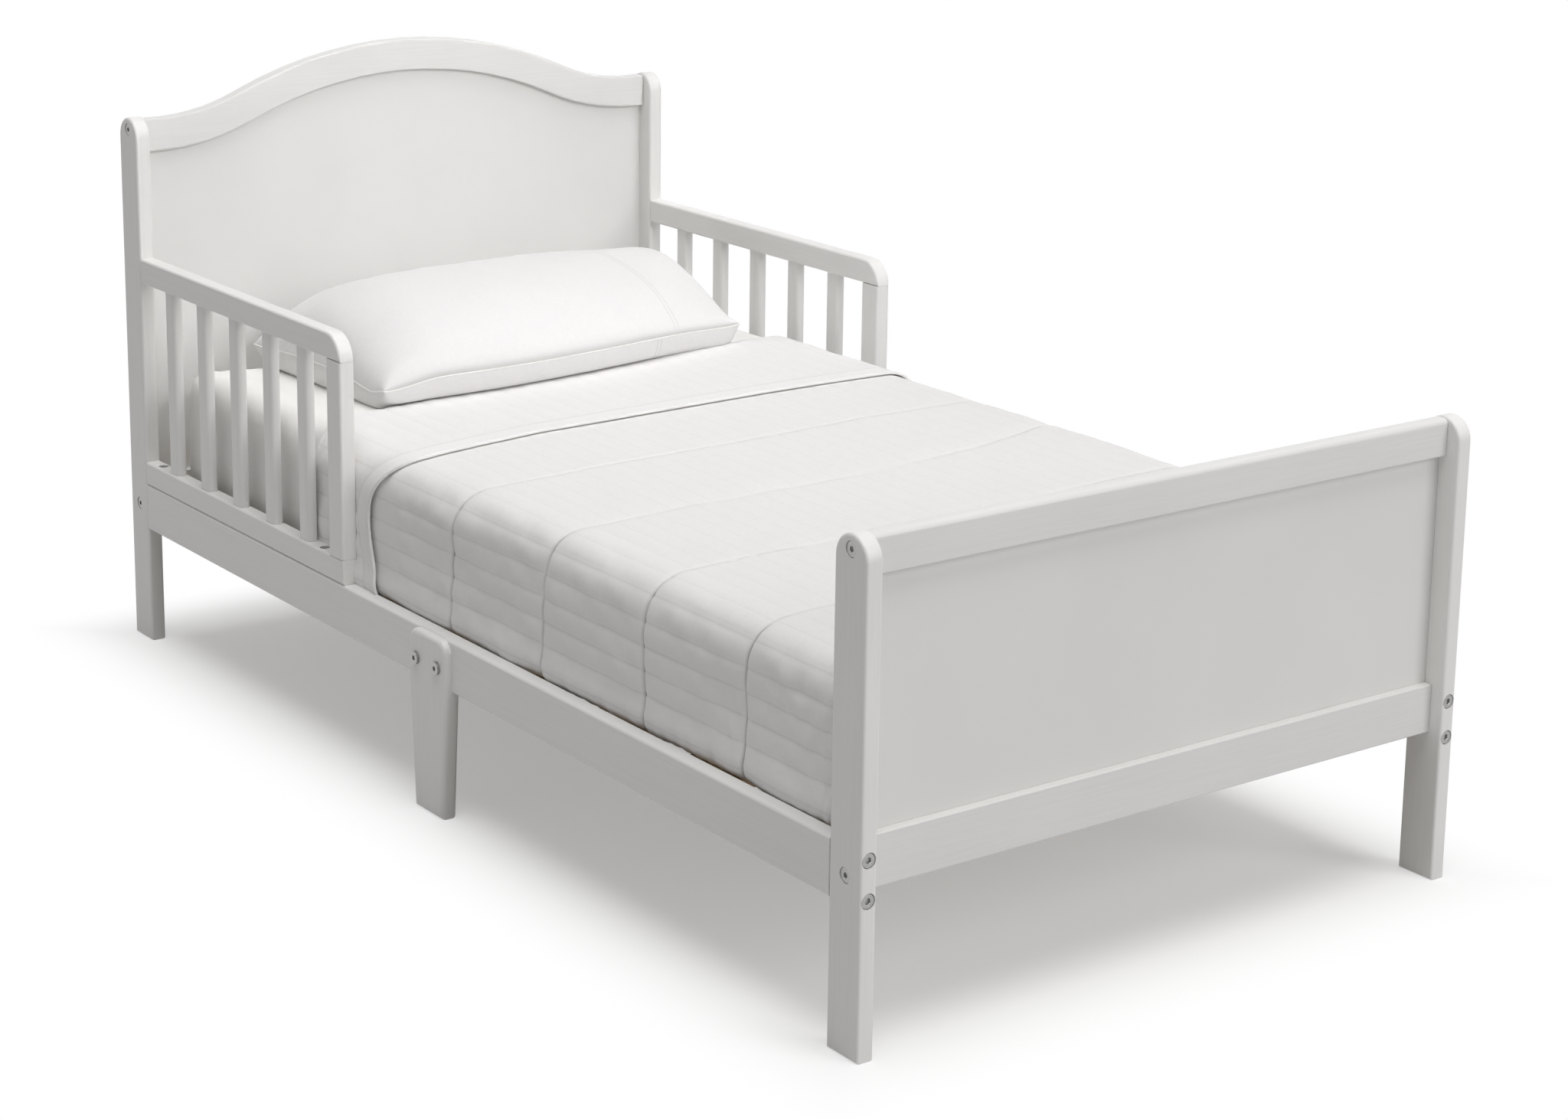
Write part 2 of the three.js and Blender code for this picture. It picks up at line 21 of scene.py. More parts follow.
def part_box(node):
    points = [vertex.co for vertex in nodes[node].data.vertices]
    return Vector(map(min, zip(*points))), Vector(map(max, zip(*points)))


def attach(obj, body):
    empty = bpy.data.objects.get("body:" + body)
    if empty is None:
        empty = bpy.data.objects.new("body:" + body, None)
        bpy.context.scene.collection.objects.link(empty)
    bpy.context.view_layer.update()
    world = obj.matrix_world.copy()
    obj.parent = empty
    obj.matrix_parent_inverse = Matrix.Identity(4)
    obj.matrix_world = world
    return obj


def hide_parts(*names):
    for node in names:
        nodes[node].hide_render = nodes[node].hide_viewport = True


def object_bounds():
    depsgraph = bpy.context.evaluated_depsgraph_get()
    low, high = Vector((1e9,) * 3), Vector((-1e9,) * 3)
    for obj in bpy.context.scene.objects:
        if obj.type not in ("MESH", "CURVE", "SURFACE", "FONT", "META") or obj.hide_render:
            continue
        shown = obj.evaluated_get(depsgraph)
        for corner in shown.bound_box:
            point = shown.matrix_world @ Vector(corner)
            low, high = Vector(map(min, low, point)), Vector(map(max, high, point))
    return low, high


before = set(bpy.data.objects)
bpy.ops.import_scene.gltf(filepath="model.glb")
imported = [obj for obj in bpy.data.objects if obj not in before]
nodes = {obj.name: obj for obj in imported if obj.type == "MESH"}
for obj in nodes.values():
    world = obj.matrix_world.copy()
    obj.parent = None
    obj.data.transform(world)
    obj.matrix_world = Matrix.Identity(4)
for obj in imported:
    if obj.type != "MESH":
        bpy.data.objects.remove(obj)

cad_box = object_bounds()
scene = bpy.context.scene

# %% [markdown]
# ## The camera
#
# A catalogue picture of a bed is taken with a long lens from a little above the mattress,
# so that the long sides hardly converge. The camera is placed by the three directions it
# sees: what is right, what is down and what is ahead. They are the columns of its matrix,
# with signs as Blender wants them. The lens is shifted down a little, so the camera tilts
# less and the posts stay nearer to upright in the picture.

# %% Camera
CAMERA_PLACE = (-1.91673685, -2.68786513, 1.21536154)
CAMERA_RIGHT = Vector((0.80554237, -0.59237525, 0.01389454))
CAMERA_AHEAD = Vector((0.57965329, 0.78294544, -0.22582849))
CAMERA_LENS = 72.7123
CAMERA_SHIFT = -0.13745
CAMERA_SENSOR = 36              # mm
CAMERA_FARTHEST = 100           # metres


def into_scene(name, data):
    """An object made of the data and put into the scene."""
    made = bpy.data.objects.new(name, data)
    scene.collection.objects.link(made)
    return made


camera = into_scene("camera", bpy.data.cameras.new("camera"))
camera.data.sensor_width = CAMERA_SENSOR
camera.data.lens = CAMERA_LENS
camera.data.shift_y = CAMERA_SHIFT
camera.data.clip_end = CAMERA_FARTHEST
turn = Matrix((CAMERA_RIGHT, CAMERA_RIGHT.cross(CAMERA_AHEAD), -CAMERA_AHEAD)).transposed()
camera.matrix_world = Matrix.Translation(CAMERA_PLACE) @ turn.to_4x4()
scene.camera = camera
scene.view_settings.view_transform = "Standard"
print("camera at", CAMERA_PLACE, "with a", CAMERA_LENS, "mm lens")

# %% [markdown]
# ## Helpers for shader nodes
#
# A Blender material is a graph of nodes, and building one in Python takes three lines for
# each node. `add` makes a node and fills its inputs in one line: a plain value is written
# into the input, and another node's output is linked to it. `sums` does the same for
# arithmetic, `vectors` for arithmetic with places, `noise` for a soft random pattern,
# `between` for a soft step between two values, and `blend_colour` for a mix of two
# colours. All of them work in a material and in a node group.

# %% Helpers for shader nodes
def add(tree, kind, settings=None, **inputs):
    made = tree.nodes.new(kind)
    for name, value in (settings or {}).items():
        setattr(made, name, value)
    for name, value in inputs.items():
        wanted = (name, name.replace("_", " "))
        socket = next((s for s in made.inputs if s.identifier in wanted), None)
        socket = socket or made.inputs[wanted[1]]
        if isinstance(value, bpy.types.NodeSocket):
            tree.links.new(value, socket)
        else:
            socket.default_value = value
    return made


def sums(tree, operation, *values, clamp=False):
    names = ("Value", "Value_001", "Value_002")
    settings = {"operation": operation, "use_clamp": clamp}
    return add(tree, "ShaderNodeMath", settings, **dict(zip(names, values))).outputs[0]


def vectors(tree, operation, **inputs):
    return add(tree, "ShaderNodeVectorMath", {"operation": operation}, **inputs).outputs[0]


def own_place(tree):
    """A point's place in the coordinates of its own part, in metres."""
    return tree.nodes.new("ShaderNodeTexCoord").outputs["Object"]


def noise(tree, place, scale, detail, **more):
    inputs = {"Vector": place, "Scale": scale, "Detail": detail, **more}
    return add(tree, "ShaderNodeTexNoise", **inputs).outputs[0]


def between(tree, value, low, high, to_low=0.0, to_high=1.0):
    names = ("Value", "From_Min", "From_Max", "To_Min", "To_Max")
    values = (value, low, high, to_low, to_high)
    settings = {"interpolation_type": "SMOOTHSTEP"}
    return add(tree, "ShaderNodeMapRange", settings, **dict(zip(names, values))).outputs[0]


def blend_colour(tree, share, first, second):
    settings = {"data_type": "RGBA"}
    inputs = {"Factor_Float": share, "A_Color": first, "B_Color": second}
    made = add(tree, "ShaderNodeMix", settings, **inputs)
    return next(s for s in made.outputs if s.identifier == "Result_Color")


def new_group(name, inputs, outputs):
    """A shader node group, with the sockets that bring values into it and take them out."""
    group = bpy.data.node_groups.new(name, "ShaderNodeTree")
    for label, kind, value in inputs:
        socket = group.interface.new_socket(label, in_out="INPUT", socket_type=kind)
        socket.default_value = value
    for label, kind in outputs:
        group.interface.new_socket(label, in_out="OUTPUT", socket_type=kind)
    into = group.nodes.new("NodeGroupInput").outputs
    return group, into, group.nodes.new("NodeGroupOutput").inputs


FLOAT, VECTOR, COLOUR = "NodeSocketFloat", "NodeSocketVector", "NodeSocketColor"
print("helpers for shader nodes are ready")

# %% [markdown]
# ## Skin of the wood: lacquer and bare grain
#
# Sprayed lacquer isn't a perfect sheet of colour. It dries with a very fine ripple, the
# grain of the board telegraphs through it as faint long lines, and its tone drifts a
# little from place to place. The bare slats under the mattress show the same grain in
# full. One node group makes this skin for every wooden part, from noise in the part's own
# coordinates, and each material says how far the grain is stretched and how deep it is.

# %% Group: skin of the wood
DRIFT_SCALE, RIPPLE_SCALE = 7.0, 380.0  # noise cells per metre
GRAIN_FROM, GRAIN_TO = 0.38, 0.66       # noise values where a line of grain begins and is full
FADED = 0.975                           # colour where the tone drifts down

skin, into, out = new_group(
    "wood skin",
    [("Colour", COLOUR, (0.8, 0.8, 0.8, 1)), ("Grain Colour", COLOUR, (0.7, 0.7, 0.7, 1)),
     ("Grain Scale", VECTOR, (1, 1, 1)), ("Grain Depth", FLOAT, 0.3), ("Ripple", FLOAT, 0.3),
     ("Sheen Low", FLOAT, 0.34), ("Sheen High", FLOAT, 0.44)],
    [("Colour", COLOUR), ("Roughness", FLOAT), ("Height", FLOAT)])
place = own_place(skin)
stretched = vectors(skin, "MULTIPLY", Vector=place, Vector_001=into["Grain Scale"])
drift = noise(skin, place, DRIFT_SCALE, 2.0)
ripple = noise(skin, place, RIPPLE_SCALE, 1.0)
grain = noise(skin, stretched, 1.0, 4.0, Roughness=0.62, Distortion=0.4)
line = between(skin, grain, GRAIN_FROM, GRAIN_TO)
tone = sums(skin, "MULTIPLY", line, into["Grain Depth"])
toned = blend_colour(skin, tone, into["Colour"], into["Grain Colour"])
faded = vectors(skin, "SCALE", Vector=toned, Scale=between(skin, drift, 0.3, 0.7, FADED, 1.0))
rise = sums(skin, "MULTIPLY", ripple, into["Ripple"])
skin.links.new(faded, out["Colour"])
skin.links.new(between(skin, drift, 0.25, 0.75, into["Sheen Low"], into["Sheen High"]),
               out["Roughness"])
skin.links.new(sums(skin, "SUBTRACT", rise, tone), out["Height"])
print("group", skin.name, "with", len(skin.nodes), "nodes")

# %% [markdown]
# ## Weave and stitches
#
# All the bedding is plain cotton weave: one thread over, one under. The product of two
# sine waves is exactly that checker of ups and downs. Cotton also has slubs, places where
# a thread is thicker, and noise stretched along each thread direction gives those.
#
# The weave follows the cloth and not the room, so it reads a UV map in metres named
# "cut": the place of each point on the cloth as it lay flat on the cutting table.

# %% Group: plain weave
SLUB_LONG, SLUB_FINE = 90, 900  # slubs: noise cells per metre, along the thread and across it
CHECKER_SHADE = 0.4             # how much of the checker shows in the shade

weave, into, out = new_group(
    "plain weave",
    [("Cut", VECTOR, (0, 0, 0)), ("Thread Pitch", FLOAT, 0.0006), ("Slub", FLOAT, 0.5)],
    [("Height", FLOAT), ("Shade", FLOAT)])
across = add(weave, "ShaderNodeSeparateXYZ", Vector=into["Cut"])
waves = []
for axis in (0, 1):
    turns = sums(weave, "DIVIDE", across.outputs[axis], into["Thread Pitch"])
    waves.append(sums(weave, "SINE", sums(weave, "MULTIPLY", turns, math.pi)))
checker = sums(weave, "MULTIPLY_ADD", sums(weave, "MULTIPLY", *waves), 0.5, 0.5)
slubs = []
for scale in ((SLUB_LONG, SLUB_FINE, 1), (SLUB_FINE, SLUB_LONG, 1)):
    long_way = vectors(weave, "MULTIPLY", Vector=into["Cut"], Vector_001=scale)
    slubs.append(noise(weave, long_way, 1.0, 2.0))
slub = sums(weave, "MULTIPLY", sums(weave, "ADD", *slubs), into["Slub"])
weave.links.new(sums(weave, "ADD", checker, slub), out["Height"])
weave.links.new(sums(weave, "ADD", sums(weave, "MULTIPLY", checker, CHECKER_SHADE), slub), out["Shade"])
print("group", weave.name, "with", len(weave.nodes), "nodes")

# %% [markdown]
# A row of machine stitches is a line of short raised threads with a needle hole between
# each pair, lying in a shallow ditch that the thread pulls into the cloth. The group takes
# how far a point is from the line and how far along it is, both in metres. It gives back
# the thread, which stops at each needle hole, and the ditch, both from 0 to 1.

# %% Group: row of stitches
HOLE_UNTIL, THREAD_FROM = 0.06, 0.16    # shares of a stitch, from the needle hole

stitches, into, out = new_group(
    "row of stitches",
    [("Off Line", FLOAT, 0.0), ("Along", FLOAT, 0.0), ("Stitch", FLOAT, 0.003),
     ("Thread", FLOAT, 0.0005), ("Ditch", FLOAT, 0.002)],
    [("Thread", FLOAT), ("Ditch", FLOAT)])
away = sums(stitches, "ABSOLUTE", into["Off Line"])
beat = sums(stitches, "PINGPONG", into["Along"], sums(stitches, "MULTIPLY", into["Stitch"], 0.5))
beat = sums(stitches, "DIVIDE", beat, into["Stitch"])
near, down = (sums(stitches, "SUBTRACT", 1.0, sums(stitches, "DIVIDE", away, into[label]), clamp=True)
              for label in ("Thread", "Ditch"))
thread = sums(stitches, "MULTIPLY", near, between(stitches, beat, HOLE_UNTIL, THREAD_FROM))
stitches.links.new(thread, out["Thread"])
stitches.links.new(sums(stitches, "MULTIPLY", down, down), out["Ditch"])
print("group", stitches.name, "with", len(stitches.nodes), "nodes")

# %% [markdown]
# ## Floor, world and lamps
#
# The bed stands on a plain white sweep in a studio. One very large soft lamp hangs far
# above it, so tops are brightest. A second one, lower and beyond the foot, lights the
# faces towards the foot, and a small one with a grid, which keeps its light in a narrow
# cone, lifts the headboard. The long left side is lit mostly by the white floor and the
# white world around it.
#
# The floor is lit paper where it takes the bed's shadow. For the camera a share of plain
# glowing white is mixed in. This is painted light, which lifts the bed's shadow to a pale
# grey. That share grows to all of it away from the bed.

# %% Floor and world
FLOOR_HALF = 20.0
FLOOR_WHITE = 0.98              # what the camera sees
FLOOR_BOUNCE = 0.62             # what the bed sees
# painted light: a share of glowing white that lifts the bed's shadow on the floor
FLOOR_PAINTED_LIFT = 0.34               # share of plain white in the bed's shadow
WHITE_FROM, WHITE_BY = -0.07, 0.11   # metres outside the bed, where the paper turns all white
WORLD_LIGHT = 0.235


def grey(value):
    return (value, value, value, 1)


def seen_straight(tree):
    """1 where the camera looks, also by way of gloss or glass, and 0 for light that is scattered."""
    ray = add(tree, "ShaderNodeLightPath").outputs
    straight = sums(tree, "MAXIMUM", ray["Is Camera Ray"], ray["Is Glossy Ray"])
    return sums(tree, "MAXIMUM", straight, ray["Is Transmission Ray"])


def material(name):
    made = bpy.data.materials.new(name)
    made.use_nodes = True
    tree = made.node_tree
    return made, tree, tree.nodes["Principled BSDF"]


floor_mesh = bpy.data.meshes.new("floor")
corners = [(x * FLOOR_HALF, y * FLOOR_HALF, 0) for x, y in ((-1, -1), (1, -1), (1, 1), (-1, 1))]
floor_mesh.from_pydata(corners, [], [(0, 1, 2, 3)])
floor = into_scene("floor", floor_mesh)

floor_paint, tree, shader = material("white paper floor")
straight = seen_straight(tree)
from_middle = vectors(tree, "ABSOLUTE", Vector=own_place(tree))
outside = vectors(tree, "SUBTRACT", Vector=from_middle, Vector_001=(cad_box[1].x, cad_box[1].y, 0))
outside = add(tree, "ShaderNodeSeparateXYZ", Vector=outside).outputs
reach = sums(tree, "MAXIMUM", outside[0], outside[1])
# painted light: the glowing share grows from a little in the bed's shadow to all of it beyond
white = between(tree, reach, WHITE_FROM, WHITE_BY, FLOOR_PAINTED_LIFT, 1.0)
beyond = sums(tree, "MULTIPLY", straight, white)
paper = blend_colour(tree, straight, grey(FLOOR_BOUNCE), grey(FLOOR_WHITE))
tree.links.new(paper, shader.inputs["Base Color"])
shader.inputs["Roughness"].default_value = 0.9
shader.inputs["Specular IOR Level"].default_value = 0.0
# the glow is painted light, mixed into the lit paper for the camera
glow = add(tree, "ShaderNodeEmission", Color=grey(1), Strength=1.0)
mixed = add(tree, "ShaderNodeMixShader", Fac=beyond)
tree.links.new(shader.outputs[0], mixed.inputs[1])
tree.links.new(glow.outputs[0], mixed.inputs[2])
tree.links.new(mixed.outputs[0], tree.nodes["Material Output"].inputs["Surface"])
floor_mesh.materials.append(floor_paint)

world = bpy.data.worlds.new("studio")
scene.world = world
world.use_nodes = True
tree = world.node_tree
strength = add(tree, "ShaderNodeMapRange", Value=seen_straight(tree), To_Min=WORLD_LIGHT, To_Max=1.0)
tree.nodes["Background"].inputs["Color"].default_value = grey(1)
tree.links.new(strength.outputs[0], tree.nodes["Background"].inputs["Strength"])
print("floor of", 2 * FLOOR_HALF, "m and world light of", WORLD_LIGHT)

# %% Lamps
BED_MIDDLE = Vector((0, 0, 0.25))
HEAD_MIDDLE = Vector((0, 0.69, 0.52))
LAMPS = {                       # place, aim, size, watts and spread in degrees
    "overhead softbox": ((-0.3, -1.3, 7.0), BED_MIDDLE, 5.0, 312, 180),
    "foot softbox": ((2.4, -5.6, 3.2), BED_MIDDLE, 3.0, 112, 180),
    "head softbox with a grid": ((-0.2, -3.0, 2.4), HEAD_MIDDLE, 0.6, 0.6, 20),
}
for name, (spot, aim, size, watts, spread) in LAMPS.items():
    lamp = bpy.data.lights.new(name, "AREA")
    lamp.shape = "SQUARE"
    lamp.size = size
    lamp.energy = watts
    lamp.spread = math.radians(spread)
    holder = into_scene(name, lamp)
    holder.location = spot
    holder.rotation_euler = (aim - holder.location).to_track_quat("-Z", "Y").to_euler()
print("lamps:", ", ".join(LAMPS))

# %% [markdown]
# ## Materials of the frame
#
# The lacquer is a satin white with a touch of warmth. Each board gets the same lacquer
# with its own grain direction: posts and guard slats run upright, rails run along the bed
# or across it, and the two panels are thin board with no grain at all. Posts, slats and
# long rails get a lighter copy of it, painted light that stands in for light their sides lack.
# Hidden parts under the mattress are bare pine, and the bolts are zinc plated steel, a
# metal whose crystals show as faint patches of different sheen.

# %% Lacquer and pine
LACQUER, LACQUER_GRAIN = (0.800, 0.792, 0.776, 1), (0.760, 0.750, 0.733, 1)
# painted light: uprights and long rails get a lighter copy of the lacquer
PAINTED_LIGHT_ON_UPRIGHTS = 1.075             # how much lighter uprights and long rails are than other boards
PINE, PINE_GRAIN = (0.66, 0.51, 0.33, 1), (0.46, 0.31, 0.17, 1)
FINE, LONG = 420, 9             # grain: noise cells per metre, across it and along it
PINE_FINE, PINE_LONG = 160, 3
EVEN = (60, 60, 60)             # thin board has no direction
LACQUER_GRAIN_DEPTH, PINE_GRAIN_DEPTH = 0.5, 0.8
SATIN, MATT = (0.36, 0.46), (0.6, 0.75)     # lowest and highest roughness
SKIN_RIPPLE = 0.35
SKIN_BUMP, SKIN_DEPTH = 0.35, 0.00012       # strength, and metres from low to high
WOOD_SHINE = 0.35


def wood(name, colours, grain, depth, sheen):
    made, tree, shader = material(name)
    group = add(tree, "ShaderNodeGroup", {"node_tree": skin}, Colour=colours[0],
                Grain_Colour=colours[1], Grain_Scale=grain, Grain_Depth=depth,
                Ripple=SKIN_RIPPLE, Sheen_Low=sheen[0], Sheen_High=sheen[1])
    bump = add(tree, "ShaderNodeBump", Strength=SKIN_BUMP, Distance=SKIN_DEPTH,
               Height=group.outputs["Height"])
    tree.links.new(group.outputs["Colour"], shader.inputs["Base Color"])
    tree.links.new(group.outputs["Roughness"], shader.inputs["Roughness"])
    tree.links.new(bump.outputs[0], shader.inputs["Normal"])
    shader.inputs["Specular IOR Level"].default_value = WOOD_SHINE
    return made


# a share above 1 makes a lighter copy of the lacquer, which is painted light
def lacquered(name, grain, painted_lift=1.0, depth=LACQUER_GRAIN_DEPTH):
    colours = [(*(part * painted_lift for part in colour[:3]), 1) for colour in (LACQUER, LACQUER_GRAIN)]
    return wood(name, colours, grain, depth, SATIN)


lacquer = {
    "across": lacquered("lacquer on a cross board", (LONG, FINE, FINE)),
    # the next two are lighter copies of the lacquer: painted light
    "along": lacquered("lacquer on a long rail", (FINE, LONG, FINE), PAINTED_LIGHT_ON_UPRIGHTS),
    "upright": lacquered("lacquer on an upright", (FINE, FINE, LONG), PAINTED_LIGHT_ON_UPRIGHTS),
    "panel": lacquered("lacquer on thin board", EVEN, depth=0.0),
}
pine = {
    way: wood(name, (PINE, PINE_GRAIN), grain, PINE_GRAIN_DEPTH, MATT)
    for way, name, grain in (("across", "bare pine slat", (PINE_LONG, PINE_FINE, PINE_FINE)),
                             ("along", "bare pine cleat", (PINE_FINE, PINE_LONG, PINE_FINE)))
}
print(len(lacquer), "lacquers and", len(pine), "pines")

# %% Zinc plate
ZINC, ZINC_PALE = (0.33, 0.33, 0.32, 1), (0.43, 0.43, 0.42, 1)
CRYSTALS = 900.0                # per metre
ZINC_SMOOTH, ZINC_ROUGH = 0.28, 0.42

zinc, tree, shader = material("zinc plate")
crystals = add(tree, "ShaderNodeTexVoronoi", Vector=own_place(tree), Scale=CRYSTALS).outputs["Color"]
patch = add(tree, "ShaderNodeSeparateColor", Color=crystals).outputs[0]
sheen = between(tree, patch, 0.0, 1.0, ZINC_SMOOTH, ZINC_ROUGH)
tree.links.new(sheen, shader.inputs["Roughness"])
tree.links.new(blend_colour(tree, patch, ZINC, ZINC_PALE), shader.inputs["Base Color"])
shader.inputs["Metallic"].default_value = 1.0
print("made", zinc.name)

# %% [markdown]
# ## Soft edges for the CAD parts
#
# A CAD part arrives as flat facets with hard edges between all of them, also on its
# rounded edges. Geometry nodes can mend that without touching the part's mesh: weld the
# points that lie on each other, then shade smooth, but keep every edge sharp that turns
# by more than 40 degrees. A Weighted Normal modifier after it keeps the large faces flat,
# and lets only the narrow strips of a rounded edge bend the light.

# %% Rounded edges that shade softly
SHARP = math.radians(40)
SAME_PLACE = 1e-6               # metres between points that are one point
soft_edges = bpy.data.node_groups.new("soft edges", "GeometryNodeTree")
soft_edges.interface.new_socket("Geometry", in_out="INPUT", socket_type="NodeSocketGeometry")
soft_edges.interface.new_socket("Geometry", in_out="OUTPUT", socket_type="NodeSocketGeometry")
first = soft_edges.nodes.new("NodeGroupInput")
last = soft_edges.nodes.new("NodeGroupOutput")
weld = add(soft_edges, "GeometryNodeMergeByDistance", Distance=SAME_PLACE)
angle = soft_edges.nodes.new("GeometryNodeInputMeshEdgeAngle").outputs[0]
hard = add(soft_edges, "FunctionNodeCompare", {"operation": "GREATER_THAN"}, A=angle, B=SHARP)
normals = soft_edges.nodes.new("GeometryNodeSetMeshNormal")
soft_edges.links.new(first.outputs[0], weld.inputs[0])
soft_edges.links.new(weld.outputs[0], normals.inputs["Mesh"])
soft_edges.links.new(hard.outputs[0], normals.inputs["Edge Sharpness"])
soft_edges.links.new(normals.outputs[0], last.inputs[0])


def shade_softly(part):
    part.modifiers.new("soft edges", "NODES").node_group = soft_edges
    part.modifiers.new("flat faces stay flat", "WEIGHTED_NORMAL").keep_sharp = True


def finish_of(name):
    if name.startswith("base_slat"):
        return pine["across"]
    if name.startswith("slat_cleat"):
        return pine["along"]
    if "_bolt_" in name:
        return zinc
    if name.endswith("_panel"):
        return lacquer["panel"]
    if name.startswith(("crown", "head_lower", "foot_top", "foot_bottom")):
        return lacquer["across"]
    if name.startswith(("side_rail", "guard_bottom", "guard_top")):
        return lacquer["along"]
    return lacquer["upright"]


BEDDING = ("mattress", "quilt", "pillow")
for name, part in nodes.items():
    if name not in BEDDING:
        part.material_slots[0].material = finish_of(name)
        shade_softly(part)
print("finished", len(nodes) - len(BEDDING), "hard parts")

# %% [markdown]
# ## Bolt and screw heads
#
# Long bolts come through the end faces of the four posts into the side rails, two in each
# post, and two screws hold each guard to its rail. Their heads lie in round seats that
# the CAD parts already have. A head is a turned shape with a hexagon socket, made of rings
# of points: up the side, over the chamfer, in to the rim of the socket and down into it.
# The outer rings are circles, and the rings of the socket are hexagons with the same
# number of points. Cutting a hexagon out of a turned disc would give the same shape.

# %% Turned metal heads
RING = 36                       # points in each ring, a multiple of six
HEAD_CHAMFER = 0.14             # share of the head's thickness
SOCKET_DEEP = 0.75              # share of the head's thickness
SOCKET_MOUTH, SOCKET_FLOOR = 1.14, 0.98     # widths as shares of the hexagon


def hexagon(width):
    """The angle of each point of a ring, and how far out a hexagon is there."""
    angles = np.arange(RING) * 2 * math.pi / RING
    from_flat = (angles + math.pi / 6) % (math.pi / 3) - math.pi / 6
    return angles, width / 2 / np.cos(from_flat)


def turned_head(name, place, out, width, thick, socket, body, finish):
    """A round head with a hexagon socket; place is the middle of its outer face."""
    angles, flats = hexagon(socket)
    radius = width / 2
    chamfer = thick * HEAD_CHAMFER
    rings = [(np.full(RING, radius), -thick), (np.full(RING, radius), -chamfer),
             (np.full(RING, radius - chamfer), 0.0), (flats * SOCKET_MOUTH, 0.0),
             (flats, -chamfer), (flats * SOCKET_FLOOR, -thick * SOCKET_DEEP)]
    points = [(r * math.cos(a), r * math.sin(a), z)
              for ring, z in rings for a, r in zip(angles, ring)]
    faces = []
    for this in range(0, (len(rings) - 1) * RING, RING):
        for i in range(RING):
            after = (i + 1) % RING
            faces.append((this + i, this + after, this + RING + after, this + RING + i))
    faces.append(tuple(range(RING - 1, -1, -1)))
    faces.append(tuple(range((len(rings) - 1) * RING, len(rings) * RING)))
    mesh = bpy.data.meshes.new(name)
    mesh.from_pydata(points, [], faces)
    facing = Vector(out).to_track_quat("Z", "Y").to_matrix().to_4x4()
    mesh.transform(Matrix.Translation(place) @ facing)
    mesh.materials.append(finish)
    head = into_scene(name, mesh)
    shade_softly(head)
    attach(head, body)
    return head


print("a head is", RING, "points round")

# %% End bolts
BOLT_HEAD, BOLT_THICK, BOLT_SOCKET, BOLT_INSET = 0.014, 0.003, 0.005, 0.001
PAIR_FROM_EDGE = 0.009          # paired bolts from the edges of the side rail
heads = []
for side in ("left", "right"):
    for end, node in ((-1, f"foot_post_{side}"), (1, f"head_post_{side}")):
        rail_low, rail_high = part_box(f"side_rail_{'foot' if end < 0 else 'head'}_{side}")
        post_low, post_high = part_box(node)
        face = post_low.y if end < 0 else post_high.y
        middle = (rail_low.x + rail_high.x) / 2
        for z in (rail_low.z + PAIR_FROM_EDGE, rail_high.z - PAIR_FROM_EDGE):
            place = (middle, face - end * BOLT_INSET, z)
            heads.append(turned_head(f"end_bolt_{len(heads) + 1}", place, (0, end, 0), BOLT_HEAD,
                                     BOLT_THICK, BOLT_SOCKET, "frame", zinc))
print(len(heads), "end bolts")

# %% Screws of the guards
SCREW_HEAD, SCREW_THICK, SCREW_SOCKET, SCREW_INSET = 0.0112, 0.004, 0.004, 0.0008
SCREW_PLACES = (0.02775, 0.4250)     # from the head end of the guard's bottom rail
screws = []
for side in ("left", "right"):
    low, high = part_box(f"guard_bottom_rail_{side}")
    for along in SCREW_PLACES:
        place = ((low.x + high.x) / 2, high.y - along, high.z - SCREW_INSET)
        name = f"guard_screw_{side}_{len(screws) % 2 + 1}"
        screws.append(turned_head(name, place, (0, 0, 1), SCREW_HEAD, SCREW_THICK, SCREW_SOCKET,
                                  "frame", zinc))
print(len(screws), "guard screws")

# %% [markdown]
# ## The shape of the made bed
#
# Mattress, cover and pillow lie on each other, so they share one surface. It is the
# mattress's top, rolled over a generous edge and down its sides, like a cloth laid over a
# block. `over_mattress` takes a place on the flat cloth, across and along, and gives the
# point where that bit of cloth ends up, with the direction that is outward there. Each
# layer is then the same surface, lifted by its own distance.
#
# Cloth past the edge of the flat top goes round a curve: a superellipse, which is an
# ellipse with fuller shoulders. At a corner the two drops meet in a quarter turn.

# %% The mattress's surface
low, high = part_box("mattress")
EDGE_OUT, EDGE_DOWN, EDGE_FULL = 0.045, 0.046, 2.7
UNDER_EDGE = 0.018              # radius of the lower edge
CORE_X = high.x - EDGE_OUT
CORE_FOOT = low.y + EDGE_OUT
CORE_HEAD = high.y - EDGE_OUT
MATTRESS_TOP, MATTRESS_BOTTOM = high.z, low.z

bend = np.linspace(0, math.pi / 2, 60)
edge_out = list(EDGE_OUT * np.sin(bend) ** (2 / EDGE_FULL))
edge_down = list(EDGE_DOWN * (1 - np.cos(bend) ** (2 / EDGE_FULL)))
edge_out += list(EDGE_OUT - UNDER_EDGE * (1 - np.cos(bend[::6])))
edge_down += list(MATTRESS_TOP - MATTRESS_BOTTOM - UNDER_EDGE * (1 - np.sin(bend[::6])))
edge_way = np.concatenate([[0], np.cumsum(np.hypot(np.diff(edge_out), np.diff(edge_down)))])


def cloth_to_reach(drop):
    """Length of cloth from the flat top over the edge to a point that far down the side."""
    return float(np.interp(drop, edge_down, edge_way))


print("the mattress's top is at", round(MATTRESS_TOP, 4), "m")

# %% From a place on the flat cloth to a point on the bed
LOW_SIDE, HIGH_SIDE = -0.0025, 0.0105   # the top of the filling, on the left and on the right
SWELL_FROM, SWELL_TO = -0.30, 0.36      # it rises between these places across the bed
HAIR = 5e-4                             # a short way along the cloth, to measure its slope


